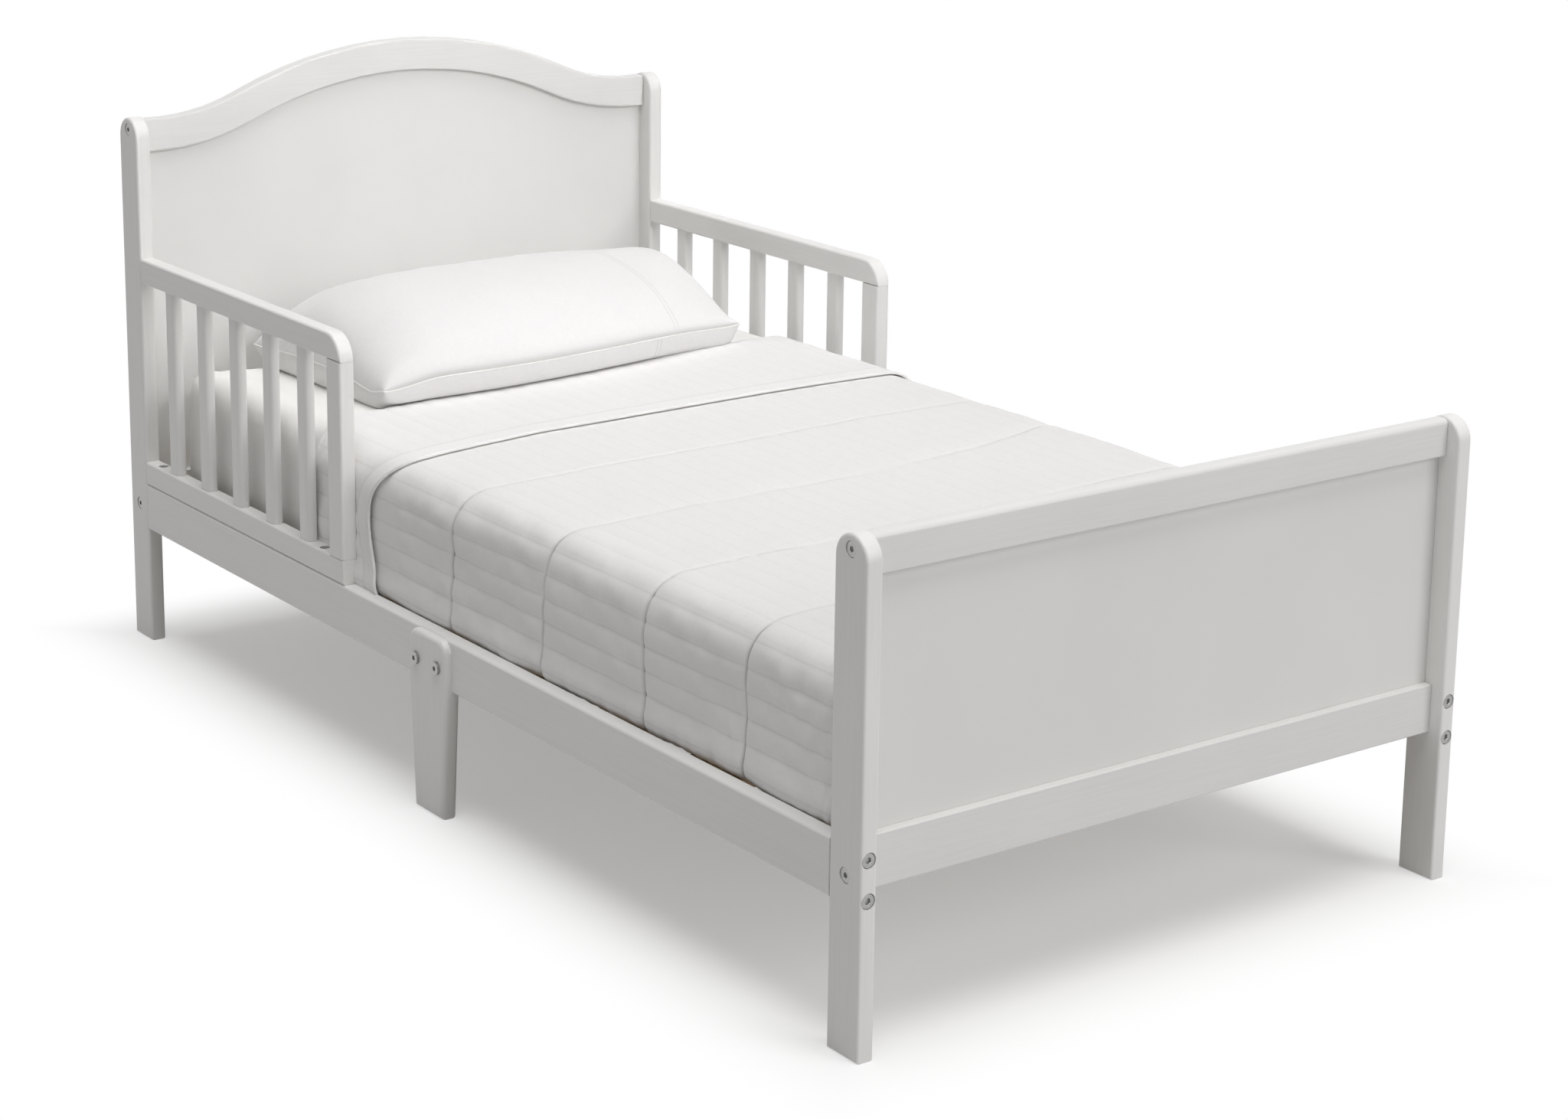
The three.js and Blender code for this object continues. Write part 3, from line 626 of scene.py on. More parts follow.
def ease(value, low, high):
    """A soft step from 0 at low to 1 at high."""
    share = np.clip((value - low) / (high - low), 0, 1)
    return share * share * (3 - 2 * share)


def swell(x):
    """How much higher than the flat block the filling stands there."""
    return LOW_SIDE + (HIGH_SIDE - LOW_SIDE) * ease(x, SWELL_FROM, SWELL_TO)


def over_mattress(across, along):
    """Points and outward directions for arrays of places on the flat cloth."""
    past_x = np.maximum(np.abs(across) - CORE_X, 0)
    past_y = np.maximum(np.maximum(CORE_FOOT - along, along - CORE_HEAD), 0)
    past = np.maximum(past_x, past_y)
    heading = np.arctan2(past_y, past_x)
    out = np.interp(past, edge_way, edge_out)
    slope_out, slope_down = (
        (np.interp(past + HAIR, edge_way, edge) - np.interp(past - HAIR, edge_way, edge)) / (2 * HAIR)
        for edge in (edge_out, edge_down))
    flat = past <= 0
    slope_out, slope_down = np.where(flat, 1, slope_out), np.where(flat, 0, slope_down)
    way_x = np.cos(heading) * np.sign(across)
    way_y = np.sin(heading) * np.where(along > 0, 1, -1)
    points = np.stack([
        np.clip(across, -CORE_X, CORE_X) + out * np.where(past_x > 0, way_x, 0),
        np.clip(along, CORE_FOOT, CORE_HEAD) + out * np.where(past_y > 0, way_y, 0),
        MATTRESS_TOP - np.interp(past, edge_way, edge_down)], -1)
    share = (points[..., 2] - MATTRESS_BOTTOM) / (MATTRESS_TOP - MATTRESS_BOTTOM)
    points[..., 2] += swell(points[..., 0]) * share
    outward = np.stack([slope_down * way_x, slope_down * way_y, slope_out], -1)
    return points, outward / np.maximum(np.linalg.norm(outward, axis=-1, keepdims=True), 1e-9)


print("the top rises from", LOW_SIDE, "to", HIGH_SIDE, "m across the bed")

# %% Unevenness, and pieces of cloth
def rolling(across, along, size, seed, count=9):
    """Soft unevenness between about -1 and 1: a few crossing waves of about one size."""
    chance = np.random.RandomState(seed)
    total = np.zeros(np.broadcast(across, along).shape)
    for _ in range(count):
        way, phase = chance.uniform(0, 2 * math.pi, 2)
        length = size * chance.uniform(0.7, 1.5)
        ahead = across * math.cos(way) + along * math.sin(way)
        total += np.sin(2 * math.pi * ahead / length + phase)
    return total / math.sqrt(count)


def hump(value, middle, width):
    """1 at the middle, falling to 0 over about the given width on each side."""
    return np.exp(-((value - middle) / width) ** 2)


def woven_piece(name, points, cut, finish):
    """An object from a grid of points, with the places on the flat cloth as its UV map."""
    rows, columns = points.shape[:2]
    at = np.arange(rows * columns).reshape(rows, columns)
    faces = np.stack([at[:-1, :-1], at[:-1, 1:], at[1:, 1:], at[1:, :-1]], -1).reshape(-1, 4)
    mesh = bpy.data.meshes.new(name)
    mesh.from_pydata(points.reshape(-1, 3).tolist(), [], faces.tolist())
    mesh.uv_layers.new(name="cut").data.foreach_set("uv", cut.reshape(-1, 2)[faces.ravel()].ravel())
    mesh.shade_smooth()
    mesh.materials.append(finish)
    return into_scene(name, mesh)


def points_of(mesh):
    points = np.zeros(len(mesh.vertices) * 3)
    mesh.vertices.foreach_get("co", points)
    return points.reshape(-1, 3)


def move_points(mesh, points):
    mesh.vertices.foreach_set("co", points.ravel())
    mesh.update()


print("helpers for cloth are ready")

# %% [markdown]
# ## Cloth materials
#
# Sheet, cover and pillowcase are the same white cotton in three weights. Cotton scatters
# light in all directions, with a weak sheen at grazing angles where the fibres stand up.
# The shade of the weave darkens the colour a little between the threads, and its height
# goes to a Bump node. The cover adds its stitching, and the pillowcase its hem, both with
# painted shade in their ditches.

# %% Cotton
SHEET_WHITE = (0.93, 0.915, 0.895, 1)
COVER_WHITE = (0.885, 0.870, 0.862, 1)
CASE_WHITE = (0.85, 0.84, 0.834, 1)
BETWEEN_THREADS = 0.93          # colour there, as a share
FINE_PITCH, COARSE_PITCH = 0.0006, 0.0009   # metres from thread to thread
CLOTH_BUMP = 0.6
COTTON = {"Roughness": 0.95, "Specular IOR Level": 0.2, "Sheen Weight": 0.08, "Sheen Roughness": 0.5}


def cotton(name, colour, pitch, depth, slub=0.5):
    """A woven material, and what its stitching needs: its tree and shader, the place on the
    cut cloth, the colour, and the height in metres."""
    made, tree, shader = material(name)
    cut = add(tree, "ShaderNodeUVMap", {"uv_map": "cut"}).outputs[0]
    group = add(tree, "ShaderNodeGroup", {"node_tree": weave}, Cut=cut, Thread_Pitch=pitch, Slub=slub)
    darker = (*(BETWEEN_THREADS * part for part in colour[:3]), 1)
    woven = blend_colour(tree, between(tree, group.outputs["Shade"], 1.1, 0.5), colour, darker)
    height = sums(tree, "MULTIPLY", group.outputs["Height"], depth)
    for label, value in COTTON.items():
        shader.inputs[label].default_value = value
    return made, tree, shader, cut, woven, height


def finish_cotton(tree, shader, colour, height):
    """Gives the shader its colour and its relief, whose height is in metres."""
    bump = add(tree, "ShaderNodeBump", Strength=CLOTH_BUMP, Distance=1.0, Height=height)
    tree.links.new(colour, shader.inputs["Base Color"])
    tree.links.new(bump.outputs[0], shader.inputs["Normal"])


SHEET_RELIEF = 0.00005
sheet_cotton, tree, shader, cut, woven, height = cotton(
    "sheet cotton", SHEET_WHITE, FINE_PITCH, SHEET_RELIEF)
finish_cotton(tree, shader, woven, height)
print("made", sheet_cotton.name)

# %% [markdown]
# ## The mattress in its fitted sheet
#
# A crib-size mattress is a firm block of foam. Its fitted sheet is pulled tight over the
# edges, so the sides are smooth, with a few long soft creases that run from the corners
# where the elastic pulls. The block is the shared surface with its lower edge turned in
# and closed underneath. A short cloth simulation then fills it from inside, so that the
# flat sides crown a little as foam under tight cotton does. It could be a plain box with
# rounded edges, but light on a real sheet is never that even.

# %% Filling a closed piece of cloth
def fill_with_air(piece, pressure, frames, most, stiffness):
    """Runs Blender's cloth with pressure and no gravity, and keeps the result in the mesh.
    No point moves further than most. Returns how far the furthest one moved."""
    start = points_of(piece.data)
    cloth = piece.modifiers.new("cloth", "CLOTH")
    wanted = {"quality": 6, "mass": 0.2, "tension_stiffness": stiffness,
              "compression_stiffness": stiffness, "shear_stiffness": stiffness / 3,
              "bending_stiffness": 0.4, "use_pressure": True, "uniform_pressure_force": pressure}
    for label, value in wanted.items():
        setattr(cloth.settings, label, value)
    cloth.settings.effector_weights.gravity = 0
    cloth.point_cache.frame_end = frames
    for frame_number in range(1, frames + 1):
        scene.frame_set(frame_number)
    filled = piece.evaluated_get(bpy.context.evaluated_depsgraph_get()).to_mesh()
    moved = points_of(filled) - start
    piece.modifiers.remove(cloth)
    scene.frame_set(1)
    distance = np.maximum(np.linalg.norm(moved, axis=1, keepdims=True), 1e-9)
    kept = np.tanh(distance / most)
    move_points(piece.data, start + moved / distance * most * kept)
    return float(most * kept.max())


print("simulations are", "on")

# %% Mattress
SHEET_STEP = 0.011
MATTRESS_CROWN = 0.004          # furthest that the filling moves the sheet
MATTRESS_PRESSURE, MATTRESS_STIFFNESS, MATTRESS_FRAMES = 3.0, 40, 14
beneath = float(edge_way[-1])
across, along = (np.linspace(start - beneath, end + beneath, int((end - start + 2 * beneath) / SHEET_STEP))
                 for start, end in ((-CORE_X, CORE_X), (CORE_FOOT, CORE_HEAD)))
U, V = np.meshgrid(across, along)
points, outward = over_mattress(U, V)
mattress = woven_piece("sheeted_mattress", points, np.stack([U, V], -1), sheet_cotton)
shape = bmesh.new()
shape.from_mesh(mattress.data)
bmesh.ops.remove_doubles(shape, verts=shape.verts, dist=2e-4)
bmesh.ops.holes_fill(shape, edges=[e for e in shape.edges if e.is_boundary], sides=0)
shape.to_mesh(mattress.data)
shape.free()
mattress.data.shade_smooth()
most = fill_with_air(mattress, MATTRESS_PRESSURE, MATTRESS_FRAMES, MATTRESS_CROWN, MATTRESS_STIFFNESS)
print("the filling pushed the sheet by", round(most, 4), "m at most")
print("mattress of", len(mattress.data.vertices), "points")

# %% Creases of the sheet
FAN_HEIGHT, FAN_SIZE, FAN_REACH = 0.0012, 0.045, 0.22   # on the sides, from the head corners
SOFT_SIDE, SOFT_TOP, SOFT_SIZE = 0.0006, 0.0007, 0.16   # broad unevenness
TIGHT = 0.0012                  # how far the sheet draws the filling in
SQUARE_FROM, SQUARE_TO = 0.335, 0.375   # along the bed: the cover's edge, where the sheet shows
SQUARE_OUT, SQUARE_UP = 0.0055, 0.0045
SQUARE_DROP, SQUARE_HALF = 0.010, 0.016 # how far under the top it is, and half its height

co = points_of(mattress.data)
drop = MATTRESS_TOP - co[:, 2]
to_head = CORE_HEAD + EDGE_OUT - co[:, 1]
to_side = CORE_X + EDGE_OUT - np.abs(co[:, 0])
on_side = ease(drop, 0.01, 0.05)
fan = rolling(to_head * 0.6 + drop * 1.2, drop * 0.2, FAN_SIZE, 5) * np.exp(-to_head / FAN_REACH)
soft = rolling(co[:, 0], co[:, 1] + co[:, 2], SOFT_SIZE, 8)
push = on_side * (FAN_HEIGHT * fan + SOFT_SIDE * soft) + (1 - on_side) * SOFT_TOP * soft
away = np.stack([np.sign(co[:, 0]) * (to_side < to_head), (to_head <= to_side) * 1.0, 0 * drop], -1)
away = away * on_side[:, None] + np.array([0, 0, 1]) * (1 - on_side)[:, None]
co += away * (push - TIGHT)[:, None]
# without the cover on it the long upper edge stays squarer
outward = np.minimum((EDGE_OUT - to_side) / EDGE_OUT, 1)    # 0 at the flat top's edge, 1 at the side
square = hump(co[:, 2], MATTRESS_TOP - SQUARE_DROP, SQUARE_HALF)
square *= ease(co[:, 1], SQUARE_FROM, SQUARE_TO) * (to_side < EDGE_OUT) * ease(outward, 0.0, 0.3)
co[:, 0] += np.sign(co[:, 0]) * SQUARE_OUT * square
co[:, 2] += SQUARE_UP * square * ease(outward, 1.05, 0.8)
move_points(mattress.data, co)
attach(mattress, "bedding")
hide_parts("mattress")
print("creases push the sheet by", round(np.abs(push).max() * 1000, 2), "mm at most")

# %% [markdown]
# ## The stitched cover
#
# The cover is a thin quilt. It is sewn in two ways: narrow channels run from the foot to
# the head, about as wide as a thumb, and every 170 mm a seam crosses them from side to
# side. Where thread pulls the layers together there is a ditch, and between the threads
# the filling stands up. These are real shapes in the mesh, because they show on the long
# side as stripes of light and shadow. The thread itself is in the material.
#
# The mesh is a grid whose rows run across the bed. Each row says where it lies along the
# bed, how high it is above the mattress, and where it is on the flat cloth. Rows past the
# fold come back over the first ones, one layer higher.

# %% Cut of the cover
COVER_THICK = 0.003
LAY = 0.0005                    # air under the cover
CHANNEL, CHANNEL_START = 0.0245, 0.003  # from line to line, and where one of them is
SEAM, SEAM_START = 0.1703, -0.003
PIECES_PER_CHANNEL = 6
HEM_BAND = 0.028
COVER_HEM_Z = 0.1875            # tucked edge, under the top of the side rails
FOLD_ROLL = 0.0019              # radius of the fold, in the middle of the cloth

hang = cloth_to_reach(MATTRESS_TOP - COVER_HEM_Z)
half_cover = CORE_X + hang
first_line = math.ceil((-half_cover - CHANNEL_START) / CHANNEL * PIECES_PER_CHANNEL)
last_line = math.floor((half_cover - CHANNEL_START) / CHANNEL * PIECES_PER_CHANNEL)
across = CHANNEL_START + np.arange(first_line, last_line + 1) * CHANNEL / PIECES_PER_CHANNEL
across = np.concatenate([[-half_cover], across, [half_cover]])
print("cover cut", round(2 * half_cover, 3), "m wide,", len(across), "points across")

# %% Lines where the seams and the hem came to lie
LINE_POINTS, LINE_SPREAD = 500, 27      # the line is drawn with so many points and smoothed over some


def line_across(*points):
    """A smooth line over the bed near a few points (across, along), level beyond them."""
    grid = np.linspace(-half_cover, half_cover, LINE_POINTS)
    rough = np.interp(grid, *zip(*points))
    spread = np.hanning(LINE_SPREAD) / np.hanning(LINE_SPREAD).sum()
    smooth = np.convolve(np.pad(rough, LINE_SPREAD // 2, mode="edge"), spread, mode="valid")
    return np.interp(across, grid, smooth)


fold_line = line_across(
    (-0.47, 0.281), (-0.42, 0.288), (-0.37, 0.285), (-0.335, 0.286), (-0.30, 0.318),
    (-0.20, 0.325), (0.30, 0.336), (0.36, 0.320), (0.47, 0.300))
hem_line = line_across(
    (-0.47, 0.140), (-0.44, 0.149), (-0.41, 0.158), (-0.38, 0.160), (-0.358, 0.152),
    (-0.335, 0.130), (-0.315, 0.116), (-0.28, 0.126), (-0.225, 0.134), (-0.15, 0.141),
    (-0.03, 0.135), (0.15, 0.124), (0.30, 0.110), (0.47, 0.104))
seam_lines = (                  # from the foot to the head
    line_across((-0.5, -0.684)),
    line_across((-0.37, -0.513), (-0.32, -0.520), (-0.28, -0.511), (0.1, -0.520), (0.3, -0.528)),
    line_across((-0.37, -0.354), (-0.33, -0.358), (-0.29, -0.352), (-0.22, -0.349), (-0.12, -0.358),
                (0.1, -0.368), (0.35, -0.366)),
    line_across((-0.40, -0.1745), (-0.33, -0.182), (-0.17, -0.177), (-0.07, -0.184), (0.03, -0.194),
                (0.12, -0.191), (0.20, -0.186), (0.27, -0.170), (0.31, -0.158)),
    line_across((-0.40, -0.002), (-0.33, -0.010), (-0.18, -0.001), (-0.06, -0.010), (0.06, -0.018),
                (0.17, -0.021), (0.28, -0.032)),
)

seams = SEAM_START + SEAM * np.arange(1 - len(seam_lines), 1)
print(len(seam_lines), "seams, from", round(seams[0], 3), "to", round(seams[-1], 3), "m on the flat cloth")

# %% Rows of the cover
ROW_STEP, CLEAR_OF_SEAM = 0.0058, 0.0085
BESIDE_SEAM = (-0.0060, -0.0036, -0.0020, -0.0009, 0.0, 0.0009, 0.0020, 0.0036, 0.0060)
TO_FOLD_FROM = 0.09             # from here the rows turn towards the line of the fold
ROWS_TO_FOLD, ROWS_IN_FOLD, ROWS_TO_HEM = 30, 9, 28
BESIDE_BAND = (0.0030, 0.0012, -0.0006, -0.0024)    # rows at the upper edge of the hem's band
IN_BAND = (0.020, 0.012, 0.006, 0.0025, 0.0)        # rows down to the hem

plain = np.arange(CORE_FOOT - hang, TO_FOLD_FROM, ROW_STEP)
plain = plain[np.abs(plain[:, None] - seams).min(1) > CLEAR_OF_SEAM]
places = np.sort(np.concatenate([plain, *(seams + step for step in BESIDE_SEAM)]))

turned = fold_line - hem_line
COVER_END = float((fold_line + turned).max()) + FOLD_ROLL * math.pi
cut_at_fold = COVER_END - turned - FOLD_ROLL * math.pi


def lies_at(place):
    """Where a place on the flat cloth came to lie along the bed, in each column."""
    cuts = np.concatenate([[places[0]], seams, [places[-1]]])
    lines = [np.full_like(across, places[0]), *seam_lines, np.full_like(across, places[-1])]
    after = int(np.clip(np.searchsorted(cuts, place), 1, len(cuts) - 1))
    share = (place - cuts[after - 1]) / (cuts[after] - cuts[after - 1])
    return lines[after - 1] * (1 - share) + lines[after] * share


level = np.zeros_like(across)
rows = []                       # (place along the bed, lift, place on the flat cloth)
for place in places:
    rows.append((lies_at(place), level, level + place))
for share in np.linspace(0, 1, ROWS_TO_FOLD)[1:]:
    rows.append((places[-1] + (fold_line - places[-1]) * share, level,
                 places[-1] + (cut_at_fold - places[-1]) * share))
for angle in np.linspace(0, math.pi, ROWS_IN_FOLD)[1:-1]:
    rows.append((fold_line + FOLD_ROLL * math.sin(angle), level + FOLD_ROLL * (1 - math.cos(angle)),
                 cut_at_fold + FOLD_ROLL * angle))
band = [HEM_BAND + step for step in BESIDE_BAND]
for share in np.linspace(0, 1, ROWS_TO_HEM)[:-1]:
    to_go = turned + (band[0] - turned) * share
    rows.append((hem_line + to_go, level + 2 * FOLD_ROLL, COVER_END - to_go))
for step in (*band, *IN_BAND):
    rows.append((hem_line + step, level + 2 * FOLD_ROLL, level + COVER_END - step))
U = np.broadcast_to(across, (len(rows), len(across)))
Y, LIFT, CUT = (np.stack([row[i] for row in rows]) for i in range(3))

# %% [markdown]
# The relief is a height for each point of that grid. Channels stand up most down the
# sides, where nothing presses on them. Every second seam is a plain tuck: a sharp crease
# in a broad hollow. The others are a row of small knots. On top of that come the broad
# unevenness of the filling and a fine crinkle, then the gathers and tucks that tell where
# the cloth was pulled askew. A displacement texture could do this at render time, but
# then the mesh would be smooth in every other program.

# %% Channels and seams
CHANNEL_RISE = 0.0017
CHANNEL_ROUND = 0.6             # below 1 the channels are fuller than a sine wave
CHANNEL_ON_TOP = 0.28           # share of their height that is left there
CREASE, CREASE_HOLLOW = 0.0026, 0.0010  # depth of the plain seams, and of the hollow beside them
CREASE_STEP = 0.0009            # how much higher the cloth is on the foot side of them
PUCKER = 0.0018                 # depth of the seams with knots at each channel
SEAM_HALF = 0.0028              # half-width of a seam
TURNED_RISE = 0.45              # share of the channels' height on the turned part's underside
HIDDEN_FROM = 0.12              # under the turned part the cover is pressed flat
UNEVEN = ((0.0010, 0.20, 3), (0.0007, 0.07, 4), (0.00040, 0.022, 5))    # height, size and seed

is_turned = LIFT >= 2 * FOLD_ROLL - 1e-6
to_hem = Y - hem_line
in_band = np.where(is_turned, ease(to_hem, HEM_BAND + 0.004, HEM_BAND - 0.002), 0)
channel = np.abs(np.sin(math.pi * (U - CHANNEL_START) / CHANNEL)) ** CHANNEL_ROUND
nearest = np.round((CUT - SEAM_START) / SEAM)
off_seam = CUT - SEAM_START - nearest * SEAM
is_crease = (nearest.astype(int) % 2) == 1
is_hidden = (~is_turned) & (CUT > HIDDEN_FROM)
past_edge = np.abs(U) - CORE_X
on_side = ease(past_edge, 0.0, 0.06)

puff = 0.55 + 0.45 * np.clip(0.5 + 0.5 * rolling(U * 3, CUT, 0.16, 21), 0, 1)
relief = CHANNEL_RISE * channel * puff * (1 - 0.7 * hump(off_seam, 0, 0.009))
relief *= CHANNEL_ON_TOP + (1 - CHANNEL_ON_TOP) * on_side
in_seam = hump(off_seam, 0, SEAM_HALF)
ditch = np.where(is_crease, CREASE * in_seam + CREASE_HOLLOW * hump(off_seam, 0, 0.013),
                 PUCKER * in_seam * (1 + 0.8 * (1 - channel) ** 2))
beside_crease = CREASE_STEP * np.tanh(-off_seam / 0.003) * hump(off_seam, 0, 0.020)
relief += (np.where(is_crease, beside_crease, 0) - ditch) * (0.6 + 0.4 * on_side)
relief = np.where(is_turned, TURNED_RISE * CHANNEL_RISE * channel,
                  np.where(is_hidden, 0.25 * relief, relief))
broad = sum(rise * rolling(U, CUT, size, seed) for rise, size, seed in UNEVEN)
relief += broad * (0.30 + 0.9 * on_side) * np.where(is_hidden, 0.2, 1)
print("relief from", round(relief.min() * 1000, 2), "to", round(relief.max() * 1000, 2), "mm")

# %% Gathers, tucks and hem
GATHER_HEIGHT, GATHER_LENGTH = 0.0008, 0.015
GATHERS = (                     # share, (place on the cloth, half-length), (past the edge, half-width)
    (1.0, (0.055, 0.050), (0.045, 0.035)),
    (0.9, (-0.575, 0.06), (0.05, 0.05)),
    (0.6, (-0.330, 0.02), (0.11, 0.05)),
    (0.6, (-0.495, 0.015), (0.12, 0.05)),
    (0.5, (0.020, 0.020), (0.12, 0.06)),
)
HEM_LIFT, HEM_LIFT_SIDE = 0.0005, 0.0030    # how far the hem stands off, and how much more on the left
HEM_LIFT_REACH = 0.012
BAND_RISE = 0.0006
BULGE, BULGE_AT, BULGE_HALF = 0.0036, 0.202, 0.012      # over the rails: out, height, half its height
TUCKS = (                       # from (along, height) to (along, height), half-width, rise
    ((0.001, 0.269), (0.030, 0.224), 0.006, 0.0016),
    ((-0.082, 0.216), (-0.097, 0.205), 0.006, 0.0014),
    ((-0.117, 0.223), (-0.129, 0.210), 0.006, 0.0014),
    ((-0.493, 0.243), (-0.508, 0.200), 0.005, 0.0015),
    ((-0.479, 0.235), (-0.486, 0.205), 0.005, 0.0012),
    ((-0.571, 0.303), (-0.598, 0.279), 0.006, 0.0018),
    ((-0.597, 0.316), (-0.585, 0.279), 0.006, -0.0018),
    ((-0.633, 0.292), (-0.608, 0.253), 0.006, 0.0020),
    ((-0.619, 0.267), (-0.631, 0.212), 0.006, -0.0020),
    ((-0.562, 0.292), (-0.618, 0.298), 0.006, -0.0014),
)

# gathers: short ripples across the channels, down the left side
askew = 2 * math.pi * (CUT + 0.10 * past_edge) / GATHER_LENGTH
gather = np.sin(askew + 2 * rolling(U, CUT, 0.05, 11))
gather_at = sum(share * hump(CUT, *on_cloth) * hump(past_edge, *down) for share, on_cloth, down in GATHERS)
relief += np.where(is_turned | (U > 0), 0, GATHER_HEIGHT * gather * gather_at)

# tucks: single ridges and hollows down the left side, where the cloth is pulled askew
height = over_mattress(U, Y)[0][..., 2]
for start, end, width, rise in TUCKS:
    way = np.subtract(end, start)
    length = math.hypot(*way)
    way = way / length
    off_y, off_z = Y - (start[0] + end[0]) / 2, height - (start[1] + end[1]) / 2
    ahead, aside = off_y * way[0] + off_z * way[1], off_y * way[1] - off_z * way[0]
    relief += np.where(U < 0, rise * hump(aside, 0, width) * hump(ahead, 0, length * 0.6), 0)

# the turned part stands off at its hem, most down the left side, and is pressed flat behind
down_left = ease(-U - CORE_X, 0.025, 0.06)
hem_lift = (HEM_LIFT + HEM_LIFT_SIDE * down_left) * np.exp(-np.maximum(to_hem, 0) / HEM_LIFT_REACH)
relief = relief * (1 - in_band) + BAND_RISE * in_band + np.where(is_turned, hem_lift, 0)
# at the bottom of the long sides the cover bulges out over the rails' rounded edges
relief += np.where(past_edge > 0, BULGE * hump(height, BULGE_AT, BULGE_HALF), 0)
points, outward = over_mattress(U, Y)
points = points + outward * (LAY + COVER_THICK / 2 + LIFT + relief)[..., None]
print("with them from", round(relief.min() * 1000, 2), "to", round(relief.max() * 1000, 2), "mm")

# %% [markdown]
# The cover's material adds the thread, and paints shade into the ditches of the seams,
# the channel lines and the hem, stronger down the long sides than on top. Distances from
# the nearest seam and from the nearest channel line come from the place on the flat cloth,
# wrapped round at each spacing. Every second seam is a plain tuck, with painted shade all
# along it. The others have it full at a knot wherever a channel line crosses them, and
# half as deep between.

# %% Cover cotton
COVER_RELIEF, COVER_SLUB = 0.00006, 0.8
SEAM_STITCH = (0.0028, 0.0005, 0.0048)      # stitch, thread and ditch, in metres
CHANNEL_STITCH = (0.0024, 0.0004, 0.0024)
HEM_STITCH = (0.0026, 0.0005, 0.0024)
HEM_STITCH_ABOVE = 0.0015       # the hem's seam over the band's edge
KNOT_OUT, KNOT_IN = 0.0038, 0.0010          # from a channel line: where its knot begins and is full
# painted shade in the ditches: how dark it is along seams, channels and the hem row
NO_KNOT = 0.50                  # darkness of a knotted seam between its knots
SEAM_SHADE_ON_TOP = 0.45              # darkness of all seams on top of the bed
CHANNEL_DARK, HEM_DARK = 0.11, 0.40
# first: the colour of the painted shade in the ditches
DITCH_SHADE, BAND_WHITE = (0.17, 0.145, 0.12, 1), (0.90, 0.895, 0.885, 1)
BAND_EDGE = 0.0002
STITCH_RELIEF = 0.00025


def stitch_row(tree, off_line, along, sizes):
    """The outputs of a row of stitches: its thread and its ditch."""
    return add(tree, "ShaderNodeGroup", {"node_tree": stitches}, Off_Line=off_line, Along=along,
               Stitch=sizes[0], Thread=sizes[1], Ditch=sizes[2]).outputs


cover_cotton, tree, shader, cut, woven, height = cotton(
    "quilted cotton", COVER_WHITE, COARSE_PITCH, COVER_RELIEF, COVER_SLUB)
place = add(tree, "ShaderNodeSeparateXYZ", Vector=cut).outputs
from_start = sums(tree, "SUBTRACT", place[1], SEAM_START)
off_seam = sums(tree, "WRAP", from_start, SEAM / 2, -SEAM / 2)
off_channel = sums(tree, "SUBTRACT", place[0], CHANNEL_START)
off_channel = sums(tree, "WRAP", off_channel, CHANNEL / 2, -CHANNEL / 2)
number = sums(tree, "FLOOR", sums(tree, "ADD", sums(tree, "DIVIDE", from_start, SEAM), 0.5))
crease = sums(tree, "FLOORED_MODULO", number, 2.0)
seam_row = stitch_row(tree, off_seam, place[0], SEAM_STITCH)
channel_row = stitch_row(tree, off_channel, place[1], CHANNEL_STITCH)
from_hem_row = sums(tree, "SUBTRACT", place[1], COVER_END - HEM_BAND + HEM_STITCH_ABOVE)
hem_row = stitch_row(tree, from_hem_row, place[0], HEM_STITCH)

at_channel = between(tree, sums(tree, "ABSOLUTE", off_channel), KNOT_OUT, KNOT_IN)
knotted = sums(tree, "MULTIPLY_ADD", at_channel, 1 - NO_KNOT, NO_KNOT)
sewn = add(tree, "ShaderNodeMix", Factor_Float=crease, A_Float=knotted, B_Float=1.0).outputs[0]
from_middle = sums(tree, "ABSOLUTE", place[0])
# painted shade is weaker on top of the bed than down its sides
down_side = between(tree, from_middle, CORE_X + 0.01, CORE_X + 0.05, SEAM_SHADE_ON_TOP, 1.0)
not_turned = between(tree, place[1], HIDDEN_FROM, HIDDEN_FROM - 0.01)
band_at = COVER_END - HEM_BAND
in_band = between(tree, place[1], band_at - BAND_EDGE, band_at + BAND_EDGE)
off_band = sums(tree, "SUBTRACT", 1.0, in_band)

# painted shade: seams, channel lines and the hem row darken in their ditches
on_seams = sums(tree, "MULTIPLY", sums(tree, "MULTIPLY", sewn, down_side), seam_row["Ditch"])
on_channels = sums(tree, "MULTIPLY", channel_row["Ditch"], sums(tree, "MULTIPLY", down_side, CHANNEL_DARK))
dark = sums(tree, "MAXIMUM", sums(tree, "MULTIPLY", on_seams, not_turned),
            sums(tree, "MULTIPLY", on_channels, off_band))
dark = sums(tree, "MAXIMUM", dark, sums(tree, "MULTIPLY", hem_row["Ditch"], HEM_DARK))
shadowed = blend_colour(tree, dark, woven, DITCH_SHADE)
bound = blend_colour(tree, in_band, shadowed, blend_colour(tree, 0.5, shadowed, BAND_WHITE))
threads = sums(tree, "ADD", seam_row["Thread"], channel_row["Thread"])
stitched = sums(tree, "SUBTRACT", sums(tree, "MULTIPLY", threads, 0.5), dark)
finish_cotton(tree, shader, bound, sums(tree, "MULTIPLY_ADD", stitched, STITCH_RELIEF, height))
print("made", cover_cotton.name, "with", len(tree.nodes), "nodes")

# %% Cover
cover = woven_piece("quilted_cover", points, np.stack([U, CUT], -1), cover_cotton)
thickness = cover.modifiers.new("thickness", "SOLIDIFY")
thickness.thickness = COVER_THICK
thickness.offset = 0
thickness.use_even_offset = True
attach(cover, "bedding")
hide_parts("quilt")
print("cover with", len(cover.data.vertices), "points")

